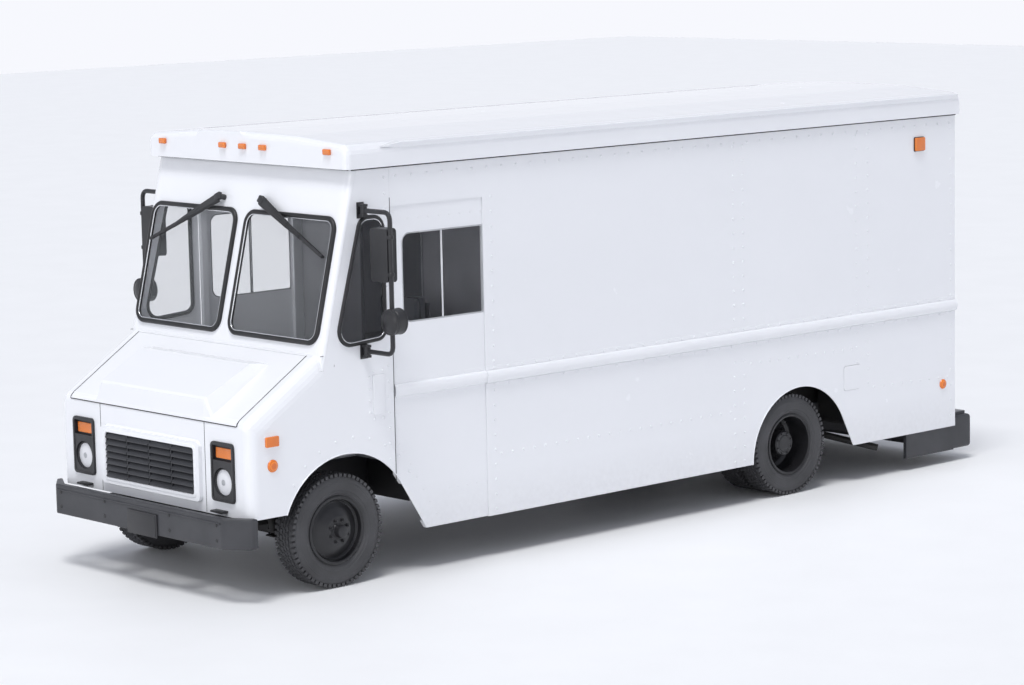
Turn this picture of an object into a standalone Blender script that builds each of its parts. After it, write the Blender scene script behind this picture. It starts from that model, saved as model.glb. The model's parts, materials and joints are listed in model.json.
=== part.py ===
"""Mail delivery step van with sliding cab doors, in metres, +Z up.

The nose points along -Y, the truck's left side is +X and the ground is z = 0.
Distances along the truck are counted from the front axle, and station() turns them into y.
"""

import math

import bmesh
import bpy
from mathutils import Matrix, Vector

# Driving dimensions
WHEELBASE = 4.52
FRONT_AXLE_Y = -2.885
REAR_AXLE_Y = FRONT_AXLE_Y + WHEELBASE
AXLE_Z = 0.392
TYRE_RADIUS = 0.392
TYRE_WIDTH = 0.21
RIM_RADIUS = 0.237
HALF_WIDTH = 1.087
SKIN = 0.004
GAP = 0.0006

# Heights of the body
SILL_Z = 0.298
FLOOR_Z = 0.80
STEP_Z = 0.50
SEAM_Z = 2.832
ROOF_Z = 3.05

# Stations behind the front axle
NOSE = -0.757
BODY_BACK = 6.455
DOOR_FRONT = 0.50
DOOR_BACK = 1.363
BULKHEAD = 1.42

# The front's side profile: bonnet and windscreen
NOSE_BOTTOM_Z = 0.57
BONNET_FRONT_Z = 1.212
BONNET_CUT_Z = 1.19
BONNET_BACK = -0.150
COWL = (-0.133, 1.607)
SCREEN_TOP = (0.170, SEAM_Z)
BONNET_HALF = 0.955
GRILLE_HALF = 0.60

# Belt rail along the sides
BELT_Z = 1.291
BELT_HALF = 0.046
BELT_BULGE = 0.028

# Wheel arches, as stations and heights
FRONT_ARCH_CENTRE = (0.065, 0.351)
FRONT_ARCH_RADIUS = 0.567
REAR_ARCH_CENTRE = (4.605, 0.297)
REAR_ARCH_RADIUS = 0.543

# Running gear
TRACK_X = 0.953
DUAL_INNER_X = 0.705
KINGPIN_X = 0.79
RAIL_X = 0.40
RAIL_BOTTOM_Z = 0.54
RAIL_TOP_Z = 0.72
STEPS = 24
SHAFT_Z = AXLE_Z + 0.012
SHAFT_END = (0, REAR_AXLE_Y - 0.25, SHAFT_Z)
SHAFT_START = (0, FRONT_AXLE_Y + 1.45, SHAFT_Z)

# The steering wheel's hub and the foot of its column
WHEEL_HUB = (0.48, FRONT_AXLE_Y + 0.50, 1.46)
COLUMN_FOOT = (WHEEL_HUB[0], FRONT_AXLE_Y - 0.05, FLOOR_Z + 0.10)
COLUMN_DIRECTION = (Vector(WHEEL_HUB) - Vector(COLUMN_FOOT)).normalized()

# Mirror arms and wipers
MIRROR_X = 1.125
MIRROR_Y = FRONT_AXLE_Y + 0.24
MIRROR_TOP_Z = 2.555
MIRROR_LOW_Z = 1.600
MIRROR_OUT_X = 1.395
WIPER_PIVOT_X = 0.229
WIPER_PIVOT_Z = 2.58

WHITE = ((0.86, 0.88, 0.91), 0.0, 0.25)
BLACK = ((0.025, 0.025, 0.028), 0.0, 0.5)
RUBBER = ((0.03, 0.03, 0.032), 0.0, 0.8)
STEEL = ((0.10, 0.10, 0.11), 0.6, 0.5)
GREY = ((0.32, 0.32, 0.34), 0.0, 0.6)
SEAT = ((0.12, 0.12, 0.13), 0.0, 0.85)
GLASS = ((0.25, 0.27, 0.29), 0.0, 0.08)


def station(offset):
    return FRONT_AXLE_Y + offset


def new_collection(name):
    collection = bpy.data.collections.new(name)
    bpy.context.scene.collection.children.link(collection)
    return collection


def paint(obj, look):
    color, metallic, roughness = look
    material = bpy.data.materials.new(obj.name)
    material.use_nodes = True
    shader = material.node_tree.nodes["Principled BSDF"]
    shader.inputs["Base Color"].default_value = (*color, 1.0)
    shader.inputs["Metallic"].default_value = metallic
    shader.inputs["Roughness"].default_value = roughness
    obj.data.materials.clear()
    obj.data.materials.append(material)


def add_part(name, mesh, look):
    obj = bpy.data.objects.new(name, mesh)
    PARTS.objects.link(obj)
    mesh.name = name
    paint(obj, look)
    return obj


def add_cutter(name, mesh):
    obj = bpy.data.objects.new(name, mesh)
    CUTTERS.objects.link(obj)
    obj.hide_render = True
    obj.display_type = "WIRE"
    return obj


def evaluated_mesh(obj):
    bpy.context.view_layer.update()
    return bpy.data.meshes.new_from_object(obj.evaluated_get(bpy.context.evaluated_depsgraph_get()))


def weld(mesh):
    shape = bmesh.new()
    shape.from_mesh(mesh)
    bmesh.ops.remove_doubles(shape, verts=shape.verts, dist=1e-5)
    bmesh.ops.recalc_face_normals(shape, faces=shape.faces)
    shape.to_mesh(mesh)
    shape.free()


def triangulate(mesh):
    shape = bmesh.new()
    shape.from_mesh(mesh)
    bmesh.ops.triangulate(shape, faces=shape.faces)
    shape.to_mesh(mesh)
    shape.free()


def rounded(points, radius, steps=6):
    """The outline with each corner turned by an arc; radius is one value or one per corner."""
    radii = [radius] * len(points) if isinstance(radius, (int, float)) else radius
    outline = []
    for index, corner in enumerate(points):
        corner = Vector(corner)
        before = (Vector(points[index - 1]) - corner).normalized()
        after = (Vector(points[(index + 1) % len(points)]) - corner).normalized()
        if radii[index] <= 0:
            outline.append(tuple(corner))
            continue
        half_angle = before.angle(after) / 2
        reach = radii[index] / math.tan(half_angle)
        centre = corner + (before + after).normalized() * radii[index] / math.sin(half_angle)
        start = corner + before * reach - centre
        sweep = start.angle_signed(corner + after * reach - centre)
        first = math.atan2(start.y, start.x)
        for step in range(steps + 1):
            angle = first - sweep * step / steps
            spoke = Vector((math.cos(angle), math.sin(angle))) * radii[index]
            outline.append(tuple(centre + spoke))
    return outline


def rectangle(low, high):
    return [(low[0], low[1]), (high[0], low[1]), (high[0], high[1]), (low[0], high[1])]


AXES = {
    "X": Matrix(((0, 0, 1, 0), (1, 0, 0, 0), (0, 1, 0, 0), (0, 0, 0, 1))),
    "Y": Matrix(((1, 0, 0, 0), (0, 0, -1, 0), (0, 1, 0, 0), (0, 0, 0, 1))),
    "Z": Matrix.Identity(4),
}


def prism_mesh(plane, outlines, low, high):
    """Outlines (the first one, less the others) extruded from low to high along the plane's axis.

    Plane X takes (y, z) points, Y takes (x, z) and Z takes (x, y).
    """
    curve = bpy.data.curves.new("outline", "CURVE")
    curve.dimensions = "2D"
    curve.fill_mode = "BOTH"
    curve.extrude = (high - low) / 2
    for points in outlines:
        spline = curve.splines.new("POLY")
        spline.points.add(len(points) - 1)
        spline.use_cyclic_u = True
        for point, (u, v) in zip(spline.points, points):
            point.co = (u, v, 0, 1)
    obj = bpy.data.objects.new("outline", curve)
    bpy.context.scene.collection.objects.link(obj)
    mesh = evaluated_mesh(obj)
    bpy.data.objects.remove(obj)
    weld(mesh)
    middle = (low + high) / 2
    lift = Matrix.Translation((0, 0, -middle if plane == "Y" else middle))
    mesh.transform(AXES[plane] @ lift)
    mesh.materials.clear()
    return mesh


def prism(name, plane, outline, low, high, look, holes=()):
    return add_part(name, prism_mesh(plane, [outline, *holes], low, high), look)


def box_mesh(low, high):
    low = Vector(low)
    high = Vector(high)
    shape = bmesh.new()
    bmesh.ops.create_cube(shape, size=1.0)
    mesh = bpy.data.meshes.new("box")
    shape.to_mesh(mesh)
    shape.free()
    size = high - low
    scale = Matrix.Diagonal((size.x, size.y, size.z, 1))
    mesh.transform(Matrix.Translation((low + high) / 2) @ scale)
    return mesh


def rod_mesh(start, end, radius, sides=16):
    start = Vector(start)
    along = Vector(end) - start
    shape = bmesh.new()
    bmesh.ops.create_cone(
        shape, cap_ends=True, segments=sides, radius1=radius, radius2=radius, depth=along.length
    )
    mesh = bpy.data.meshes.new("rod")
    shape.to_mesh(mesh)
    shape.free()
    turn = along.to_track_quat("Z", "Y").to_matrix().to_4x4()
    mesh.transform(Matrix.Translation(start + along / 2) @ turn)
    return mesh


def tube_mesh(points, radius, bend=0.0):
    """A bent tube along a polyline whose inner corners are rounded by the bend radius."""
    route = [Vector(point) for point in points]
    smooth = [route[0]]
    for index in range(1, len(route) - 1):
        corner = route[index]
        before = (route[index - 1] - corner).normalized()
        after = (route[index + 1] - corner).normalized()
        for step in range(7):
            blend = step / 6
            entry = corner + before * bend * (1 - blend) ** 2
            smooth.append(entry + after * bend * blend ** 2)
    smooth.append(route[-1])
    curve = bpy.data.curves.new("tube", "CURVE")
    curve.dimensions = "3D"
    curve.bevel_depth = radius
    curve.bevel_resolution = 2
    curve.use_fill_caps = True
    spline = curve.splines.new("POLY")
    spline.points.add(len(smooth) - 1)
    for point, position in zip(spline.points, smooth):
        point.co = (*position, 1)
    obj = bpy.data.objects.new("tube", curve)
    bpy.context.scene.collection.objects.link(obj)
    mesh = evaluated_mesh(obj)
    bpy.data.objects.remove(obj)
    weld(mesh)
    mesh.materials.clear()
    return mesh


def turned_mesh(profile, centre, axis="X", steps=STEPS):
    """A closed (radius, height) outline turned about the axis through centre."""
    mesh = bpy.data.meshes.new("profile")
    loop = [(index, (index + 1) % len(profile)) for index in range(len(profile))]
    mesh.from_pydata([(radius, 0, height) for radius, height in profile], loop, [])
    obj = bpy.data.objects.new("profile", mesh)
    bpy.context.scene.collection.objects.link(obj)
    screw = obj.modifiers.new("turn", "SCREW")
    screw.steps = steps
    screw.render_steps = steps
    screw.use_merge_vertices = True
    screw.merge_threshold = 0.00001
    turned = evaluated_mesh(obj)
    bpy.data.objects.remove(obj)
    weld(turned)
    turn = Matrix.Rotation(math.radians(90), 4, {"X": "Y", "Y": "X", "Z": "Z"}[axis])
    turned.transform(Matrix.Translation(centre) @ (Matrix.Identity(4) if axis == "Z" else turn))
    return turned


def boolean(obj, mesh, operation):
    tool = add_cutter(f"{obj.name}_{operation.lower()}_{len(obj.modifiers)}", mesh)
    step = obj.modifiers.new(operation.lower(), "BOOLEAN")
    step.operation = operation
    step.object = tool
    step.solver = "EXACT"
    return obj


def cut(obj, mesh):
    return boolean(obj, mesh, "DIFFERENCE")


def join(obj, mesh):
    return boolean(obj, mesh, "UNION")


def keep(obj, mesh):
    return boolean(obj, mesh, "INTERSECT")


def bevel(obj, width, segments=2, angle=40):
    step = obj.modifiers.new("bevel", "BEVEL")
    step.width = width
    step.segments = segments
    step.limit_method = "ANGLE"
    step.angle_limit = math.radians(angle)
    return obj


def set_origin(obj, point):
    """Puts the object's origin on its joint's axis without moving the shape."""
    shift = Matrix.Translation(-Vector(point))
    obj.data = obj.data.copy()
    obj.data.transform(shift)
    obj.location = point
    return obj


def mirrored(obj, name, look):
    """The same piece for the other side, as a mesh of its own."""
    mesh = evaluated_mesh(obj)
    mesh.transform(obj.matrix_world)
    mesh.transform(Matrix.Scale(-1, 4, (1, 0, 0)))
    mesh.flip_normals()
    twin = add_part(name, mesh, look)
    if obj.location.length > 0:
        set_origin(twin, (-obj.location.x, obj.location.y, obj.location.z))
    return twin


def side_names(base):
    return f"left_{base}", f"right_{base}"


# Body shell of the nose ---------------------------------------------------------------------


def nose_profile(inset):
    """The nose's side outline in (y, z), moved inwards by the inset."""
    slope = Vector((COWL[0] - NOSE, COWL[1] - BONNET_FRONT_Z)).normalized()
    screen = Vector((SCREEN_TOP[0] - COWL[0], SCREEN_TOP[1] - COWL[1])).normalized()
    drop = inset / slope.x
    back = inset / screen.y
    front = NOSE + inset
    cowl_y = COWL[0] + back
    cowl_z = COWL[1] - drop
    bend_y = cowl_y + (cowl_z - COWL[1]) * screen.x / screen.y
    bend_z = cowl_z + (bend_y - COWL[0]) * slope.y / slope.x
    top_y = SCREEN_TOP[0] + back
    edge = DOOR_FRONT + inset
    points = [
        (front, NOSE_BOTTOM_Z - inset),
        (front, BONNET_FRONT_Z - drop + inset * slope.y / slope.x),
        (bend_y, bend_z),
        (top_y, SEAM_Z),
        (edge, SEAM_Z),
        (edge, NOSE_BOTTOM_Z - inset),
    ]
    return [(station(y), z) for y, z in points]


def nose_solid_mesh(inset):
    """The nose as a solid block with rounded fender tops, front corners and screen pillars."""
    half = HALF_WIDTH - inset
    shape = bmesh.new()
    shape.from_mesh(prism_mesh("X", [nose_profile(inset)], -half, half))
    bmesh.ops.dissolve_limit(shape, angle_limit=0.001, verts=shape.verts, edges=shape.edges)
    weights = shape.edges.layers.float.new("bevel_weight_edge")
    big = 0.115 - inset
    for edge in shape.edges:
        ends = [vert.co for vert in edge.verts]
        offsets = sorted(co.y - FRONT_AXLE_Y for co in ends)
        same_side = abs(ends[0].x - ends[1].x) < 1e-4
        middle_z = (ends[0].z + ends[1].z) / 2
        if offsets[1] > DOOR_FRONT - 0.01 or middle_z < NOSE_BOTTOM_Z + 0.01:
            continue
        if same_side and offsets[1] < NOSE + 0.02:
            edge[weights] = 0.62
        elif same_side and offsets[1] < COWL[0] + 0.02:
            edge[weights] = 1.0
        elif same_side and offsets[0] > COWL[0] - 0.02 and middle_z < SEAM_Z - 0.01:
            edge[weights] = 0.35
        elif not same_side and offsets[1] < NOSE + 0.02:
            edge[weights] = 0.35
    mesh = bpy.data.meshes.new("nose")
    shape.to_mesh(mesh)
    shape.free()
    obj = bpy.data.objects.new("nose", mesh)
    bpy.context.scene.collection.objects.link(obj)
    round_off = obj.modifiers.new("round", "BEVEL")
    round_off.width = big
    round_off.segments = 6
    round_off.limit_method = "WEIGHT"
    result = evaluated_mesh(obj)
    bpy.data.objects.remove(obj)
    result.materials.clear()
    triangulate(result)
    return result


def round_arch(centre, radius, first, last, foot):
    """An arch in (y, z), an arc between two angles drawn on below the sill so that it cuts right through."""
    steps = 20
    outline = [(centre[0] + radius * math.cos(first), foot)]
    for step in range(steps + 1):
        angle = first + (last - first) * step / steps
        outline.append((centre[0] + radius * math.cos(angle), centre[1] + radius * math.sin(angle)))
    fall = outline[-1][1] - foot
    outline.append((outline[-1][0] + fall * math.tan(last), foot))
    return [(station(y), z) for y, z in outline]


def arch_outline():
    """The front wheel arch, whose back edge runs straight down to the sill."""
    return round_arch(FRONT_ARCH_CENTRE, FRONT_ARCH_RADIUS, math.radians(157.4), math.radians(32.6), 0.20)


def rear_arch_outline():
    return round_arch(REAR_ARCH_CENTRE, REAR_ARCH_RADIUS, math.pi, math.radians(26.9), 0.20)


def bonnet_region_mesh(half, margin):
    """Everything that the bonnet covers, with a margin around its edges."""
    outline = [
        (NOSE - 0.10, BONNET_CUT_Z - margin),
        (NOSE + 0.10, BONNET_CUT_Z - margin),
        (BONNET_BACK + margin, 1.48),
        (BONNET_BACK + margin, 1.80),
        (NOSE - 0.10, 1.80),
    ]
    return prism_mesh("X", [[(station(y), z) for y, z in outline]], -half, half)


def screen_region_mesh(margin):
    """The windscreen panel's share of the shell; a negative margin leaves its seam clear."""
    lean = (SCREEN_TOP[0] - COWL[0]) / (SCREEN_TOP[1] - COWL[1])
    flange = 0.045
    low_z = 1.50
    low_edge = COWL[0] + (low_z - COWL[1]) * lean + flange + margin
    high_edge = low_edge + (SEAM_Z + 0.10 - low_z) * lean
    outline = [
        (BONNET_BACK - margin, low_z - margin),
        (low_edge, low_z - margin),
        (high_edge, SEAM_Z + 0.10),
        (BONNET_BACK - margin, SEAM_Z + 0.10),
    ]
    return prism_mesh("X", [[(station(y), z) for y, z in outline]], -1.3, 1.3)


def shell_part(name):
    """A part that starts as the nose's whole skin."""
    obj = add_part(name, nose_solid_mesh(0.0), WHITE)
    return cut(obj, nose_solid_mesh(SKIN))


def pane_outline(inset):
    """The left windscreen opening in (x, z)."""
    low = (0.058 + inset, 1.678 + inset)
    high = (1.022 - inset, 2.502 - inset)
    return rounded(rectangle(low, high), 0.085 - inset)


def quarter_outline(inset):
    """The tapered quarter window in (y, z)."""
    points = [(-0.008, 1.640), (0.435, 1.668), (0.432, 2.505), (0.235, 2.505)]
    outline = [(station(y), z) for y, z in rounded(points, [0.10, 0.07, 0.085, 0.085])]
    centre = Vector((station(0.27), 2.05))
    moved = []
    for point in outline:
        away = Vector(point) - centre
        moved.append(tuple(centre + away * (1 - inset / away.length)))
    return moved


def headlamp_outline(inset):
    low = (0.675 + inset, 0.665 + inset)
    high = (0.925 - inset, 1.070 - inset)
    return rounded(rectangle(low, high), 0.03)


def make_cowl_sides():
    left, right = side_names("cowl_side")
    obj = shell_part(left)
    keep(obj, box_mesh((0.0, station(-1.2), 0.3), (1.2, station(DOOR_FRONT) - GAP, SEAM_Z + 0.5)))
    cut(obj, box_mesh((-0.1, station(-1.2), 0.2), (GRILLE_HALF, station(-0.6), BONNET_CUT_Z + 0.1)))
    cut(obj, bonnet_region_mesh(BONNET_HALF, 0.001))
    cut(obj, screen_region_mesh(0.0))
    cut(obj, prism_mesh("X", [arch_outline()], 0.9, 1.2))
    cut(obj, prism_mesh("X", [quarter_outline(0.0)], 1.0, 1.2))
    cut(obj, prism_mesh("Y", [headlamp_outline(0.0)], station(-0.85), station(-0.70)))
    cut(obj, box_mesh((-0.1, station(-1.2), 2.0), (1.05, station(1.0), 3.5)))
    cut(obj, box_mesh((-0.1, station(-0.70), 0.2), (BONNET_HALF - 0.06, station(1.0), 3.5)))
    for low_z in (MIRROR_TOP_Z - 0.042, MIRROR_TOP_Z + 0.028, MIRROR_LOW_Z - 0.042, MIRROR_LOW_Z + 0.028):
        ear_low = (HALF_WIDTH - 0.002, MIRROR_Y - 0.020, low_z)
        join(obj, box_mesh(ear_low, (MIRROR_X + 0.018, MIRROR_Y + 0.020, low_z + 0.014)))
    mirrored(obj, right, WHITE)


def make_windshield_panel():
    obj = shell_part("windshield_panel")
    keep(obj, screen_region_mesh(-2 * GAP))
    cut(obj, prism_mesh("Y", [pane_outline(0.0)], station(-0.4), station(0.4)))
    flipped = [(-x, z) for x, z in reversed(pane_outline(0.0))]
    cut(obj, prism_mesh("Y", [flipped], station(-0.4), station(0.4)))
    trim = 0.002
    cut(obj, box_mesh((-1.3, station(-1), SEAM_Z - trim), (1.3, station(1), SEAM_Z + 1)))


def make_windshield_glasses():
    lean = (SCREEN_TOP[0] - COWL[0]) / (SCREEN_TOP[1] - COWL[1])
    depth = 0.005
    strip = []
    for z, shift in ((1.6, 0.0), (2.6, 0.0), (2.6, depth), (1.6, depth)):
        strip.append((station(COWL[0] + (z - COWL[1]) * lean + shift), z))
    left, right = side_names("windshield_glass")
    obj = prism(left, "X", strip, 0.01, 1.08, GLASS)
    keep(obj, prism_mesh("Y", [pane_outline(GAP)], station(-0.4), station(0.4)))
    mirrored(obj, right, GLASS)


def make_quarter_glasses():
    left, right = side_names("quarter_glass")
    obj = prism(left, "X", quarter_outline(GAP), HALF_WIDTH - 0.005, HALF_WIDTH - 0.001, GLASS)
    mirrored(obj, right, GLASS)


def make_grille_panel():
    obj = shell_part("grille_panel")
    half = GRILLE_HALF - GAP
    keep(obj, box_mesh((-half, station(-1), 0.3), (half, station(-0.72), BONNET_CUT_Z - 0.002)))
    surround = rounded(rectangle((-0.565, 0.640), (0.565, 1.045)), 0.035)
    join(obj, prism_mesh("Y", [surround], station(NOSE - 0.030), station(NOSE + SKIN)))
    opening = rounded(rectangle((-0.5135, 0.680), (0.5135, 1.005)), 0.02)
    cut(obj, prism_mesh("Y", [opening], station(NOSE - 0.06), station(NOSE + 0.06)))


def make_grille():
    outline = rounded(rectangle((-0.513, 0.6805), (0.513, 1.0045)), 0.0195)
    columns = 4
    rows = 7
    wide = 0.98 / columns
    tall = 0.290 / rows
    holes = []
    for column in range(columns):
        for row in range(rows):
            x = -0.49 + column * wide
            z = 0.6975 + row * tall
            holes.append(rectangle((x + 0.008, z + 0.006), (x + wide - 0.008, z + tall - 0.006)))
    prism("grille", "Y", outline, station(NOSE - 0.026), station(NOSE), BLACK, holes)


def make_headlamps():
    left, right = side_names("headlamp")
    obj = prism(left, "Y", headlamp_outline(GAP), station(NOSE - 0.012), station(NOSE + 0.05), BLACK)
    lamp = (0.800, 0.0, 0.800)
    front = station(NOSE - 0.05)
    floor = station(NOSE + 0.012)
    cut(obj, rod_mesh((lamp[0], front, lamp[2]), (lamp[0], floor, lamp[2]), 0.098, 28))
    cut(obj, box_mesh((0.700, front, 0.945), (0.900, floor, 1.045)))
    mirrored(obj, right, BLACK)


def bonnet_rows():
    """Side profile rows as ((y, z) on the flat bonnet, (y, z) on top of its raised middle)."""
    rise = (COWL[1] - BONNET_FRONT_Z) / (COWL[0] - NOSE)
    front_y = NOSE
    base = [(front_y, BONNET_CUT_Z + 0.001), (front_y + 0.004, 1.203), (front_y + 0.016, 1.217)]
    top = [(front_y, BONNET_CUT_Z + 0.001), (front_y + 0.004, 1.215), (front_y + 0.010, 1.335)]
    base.append((front_y + 0.032, BONNET_FRONT_Z + 0.032 * rise))
    top.append((front_y + 0.026, 1.351))
    end_z = BONNET_FRONT_Z + (BONNET_BACK - NOSE) * rise
    for share in (0.3, 0.62, 0.82, 1.0):
        y = front_y + 0.032 + (BONNET_BACK - 0.004 - front_y - 0.032) * share
        flat_z = BONNET_FRONT_Z + (y - NOSE) * rise
        raised = 1.351 + (end_z - 1.351) * share / 0.82
        base.append((y, flat_z))
        top.append((y, max(flat_z, raised) if share < 0.82 else flat_z))
    return [((station(b[0]), b[1]), (station(t[0]), t[1])) for b, t in zip(base, top)]


def make_bonnet():
    """A lofted sheet whose rows blend from the flat edges to the raised middle, then thickened."""
    half = BONNET_HALF - 0.001
    rows = bonnet_rows()
    shape = bmesh.new()
    grid = []
    for index, (base, top) in enumerate(rows):
        along = index / (len(rows) - 1)
        foot = 0.640 + 0.05 * along
        crest = 0.576 + 0.06 * along
        columns = [-half, -half + 0.03, -foot, -crest, -0.3, 0.0, 0.3, crest, foot, half - 0.03, half]
        line = []
        for x in columns:
            raised = abs(x) <= crest + 1e-6
            y, z = top if raised else base
            line.append(shape.verts.new((x, y, z)))
        grid.append(line)
    for low, high in zip(grid, grid[1:]):
        for index in range(len(low) - 1):
            shape.faces.new((low[index], low[index + 1], high[index + 1], high[index]))
    bmesh.ops.recalc_face_normals(shape, faces=shape.faces)
    mesh = bpy.data.meshes.new("hood")
    shape.to_mesh(mesh)
    shape.free()
    obj = add_part("hood", mesh, WHITE)
    set_origin(obj, (0, station(BONNET_BACK), COWL[1] - 0.01))
    thick = obj.modifiers.new("thickness", "SOLIDIFY")
    thick.thickness = SKIN
    thick.offset = -1


# Sides, roof and rear -----------------------------------------------------------------------


def belt_section(outer, low_z, high_z, bulge):
    """A sheet's (x, z) section with the belt rail pressed outwards in it."""
    def face(x):
        points = [(x, low_z), (x, BELT_Z - BELT_HALF)]
        for step in range(1, 8):
            angle = math.pi * step / 8
            reach = bulge * math.sin(angle) ** 0.8
            points.append((x + reach, BELT_Z - BELT_HALF * math.cos(angle)))
        points.append((x, BELT_Z + BELT_HALF))
        points.append((x, high_z))
        return points
    return face(outer) + list(reversed(face(outer - SKIN)))


def make_side_panels():
    left, right = side_names("side_panel")
    section = belt_section(HALF_WIDTH, SILL_Z, SEAM_Z, BELT_BULGE)
    obj = prism(left, "Y", section, station(DOOR_FRONT) + GAP, station(BODY_BACK), WHITE)
    opening = rectangle((station(0), 0.1), (station(DOOR_BACK) - 0.02, 2.56))
    cut(obj, prism_mesh("X", [opening], 0.9, 1.3))
    cut(obj, prism_mesh("X", [rear_arch_outline()], 0.9, 1.3))
    mirrored(obj, right, WHITE)
    cut(obj, prism_mesh("X", [filler_outline(0.0)], 1.0, 1.2))


def filler_outline(inset):
    low = (station(5.102) + inset, 0.742 + inset)
    high = (station(5.301) - inset, 0.937 - inset)
    return rounded(rectangle(low, high), 0.02)


def make_filler_door():
    outer = HALF_WIDTH + 0.003
    obj = prism("fuel_filler_door", "X", filler_outline(0.002), outer - SKIN, outer, WHITE)
    set_origin(obj, (HALF_WIDTH + 0.006, station(5.102) + 0.002, 0.84))


def door_window_outline(inset):
    low = (station(0.603) + inset, 1.750 + inset)
    high = (station(1.343) - inset, 2.370 - inset)
    corner = 0.07 - inset
    return rounded(rectangle(low, high), [corner, 0.012, 0.012, corner])


def make_cab_doors():
    left, right = side_names("cab_door")
    outer = HALF_WIDTH - SKIN - 0.0025
    front = station(DOOR_FRONT) + 0.004
    back = station(DOOR_BACK)
    section = belt_section(outer, SILL_Z + 0.004, 2.60, BELT_BULGE)
    obj = prism(left, "Y", section, front, back, WHITE)
    frame = rectangle((front, SILL_Z + 0.004), (back, 2.60))
    inside = rectangle((front + 0.05, SILL_Z + 0.06), (back - 0.012, 2.55))
    join(obj, prism_mesh("X", [frame, inside], outer - 0.034, outer - 0.001))
    cut(obj, prism_mesh("X", [arch_outline()], 0.9, 1.2))
    cut(obj, prism_mesh("X", [door_window_outline(0.0)], 0.9, 1.2))
    mirrored(obj, right, WHITE)
    left_glass, right_glass = side_names("door_glass")
    pane = prism(left_glass, "X", door_window_outline(GAP), outer - 0.006, outer - 0.001, GLASS)
    mirrored(pane, right_glass, GLASS)


def roof_section(half, top, side_top):
    """The roof's (x, z) section: upright sides, rounded shoulders and a slight crown."""
    base = SEAM_Z + 0.0025
    crown = top - 0.008
    points = [(half, base), (half, side_top), (half * 0.5, crown), (0, top)]
    points += [(-half * 0.5, crown), (-half, side_top), (-half, base)]
    return rounded(points, [0, 0.07, 0.8, 0.8, 0.8, 0.07, 0], 4)


def roof_solid_mesh(inset):
    section = roof_section(1.118 - inset, ROOF_Z - inset, 3.0 - inset)
    front = station(0.105) + inset
    back = station(BODY_BACK) + 0.02 - inset
    shape = bmesh.new()
    shape.from_mesh(prism_mesh("Y", [section], front, back))
    bmesh.ops.dissolve_limit(shape, angle_limit=0.001, verts=shape.verts, edges=shape.edges)
    rim = []
    base = SEAM_Z + 0.01
    for edge in shape.edges:
        at_front = all(abs(vert.co.y - front) < 1e-4 for vert in edge.verts)
        if at_front and not all(vert.co.z < base for vert in edge.verts):
            rim.append(edge)
    bmesh.ops.bevel(
        shape, geom=rim, offset=0.045 - inset, segments=4, profile=0.5, affect="EDGES", clamp_overlap=False
    )
    mesh = bpy.data.meshes.new("roof")
    shape.to_mesh(mesh)
    shape.free()
    triangulate(mesh)
    return mesh


def make_roof():
    obj = add_part("roof_cap", roof_solid_mesh(0.0), WHITE)
    inner = roof_solid_mesh(SKIN)
    inner.transform(Matrix.Translation((0, 0, -0.004)))
    cut(obj, inner)


def make_rear_frame():
    half = HALF_WIDTH - SKIN - GAP
    outline = rectangle((-half, 0.45), (half, SEAM_Z - 0.002))
    opening = rectangle((-0.802, FLOOR_Z - 0.03), (0.802, 2.60))
    slots = []
    for x in (-RAIL_X, RAIL_X):
        slots.append(rectangle((x - 0.037, RAIL_BOTTOM_Z - 0.002), (x + 0.037, RAIL_TOP_Z + 0.002)))
    back = station(BODY_BACK)
    obj = prism("rear_frame", "Y", outline, back - SKIN, back, WHITE, [opening, *slots])
    jamb = rectangle((-0.842, FLOOR_Z - 0.07), (0.842, 2.64))
    join(obj, prism_mesh("Y", [jamb, opening], back - 0.05, back - 0.001))


def make_rear_doors():
    left, right = side_names("rear_door")
    back = station(BODY_BACK)
    outline = rectangle((0.0015, FLOOR_Z - 0.027), (0.7985, 2.597))
    window = rounded(rectangle((0.18, 1.72), (0.62, 2.34)), 0.06)
    obj = prism(left, "Y", outline, back - 0.030, back + 0.004, WHITE, [window])
    hollow = rectangle((0.04, FLOOR_Z + 0.02), (0.76, 2.55))
    ring = rounded(rectangle((0.16, 1.70), (0.64, 2.36)), 0.07)
    cut(obj, prism_mesh("Y", [hollow, ring], back - 0.05, back))
    hinge = (0.8035, back + 0.010, 1.6)
    set_origin_later(obj, hinge)
    glass_left, glass_right = side_names("rear_glass")
    pane_points = rounded(rectangle((0.1806, 1.7206), (0.6194, 2.3394)), 0.0594)
    pane = prism(glass_left, "Y", pane_points, back - 0.010, back - 0.004, GLASS)
    set_origin(pane, hinge)
    mirrored(obj, right, WHITE)
    mirrored(pane, glass_right, GLASS)


def set_origin_later(obj, point):
    """Applies the object's modifiers, then moves its origin onto its joint's axis."""
    mesh = evaluated_mesh(obj)
    obj.modifiers.clear()
    obj.data = mesh
    paint(obj, WHITE)
    set_origin(obj, point)


def make_bulkhead():
    half = 1.030
    outline = rectangle((-half, FLOOR_Z + GAP), (half, SEAM_Z - 0.01))
    opening = rounded(rectangle((-0.34, FLOOR_Z + 0.04), (0.34, 2.60)), 0.05)
    prism("bulkhead", "Y", outline, station(BULKHEAD), station(BULKHEAD) + 0.02, GREY, [opening])


# Chassis, floors and cab --------------------------------------------------------------------


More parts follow.
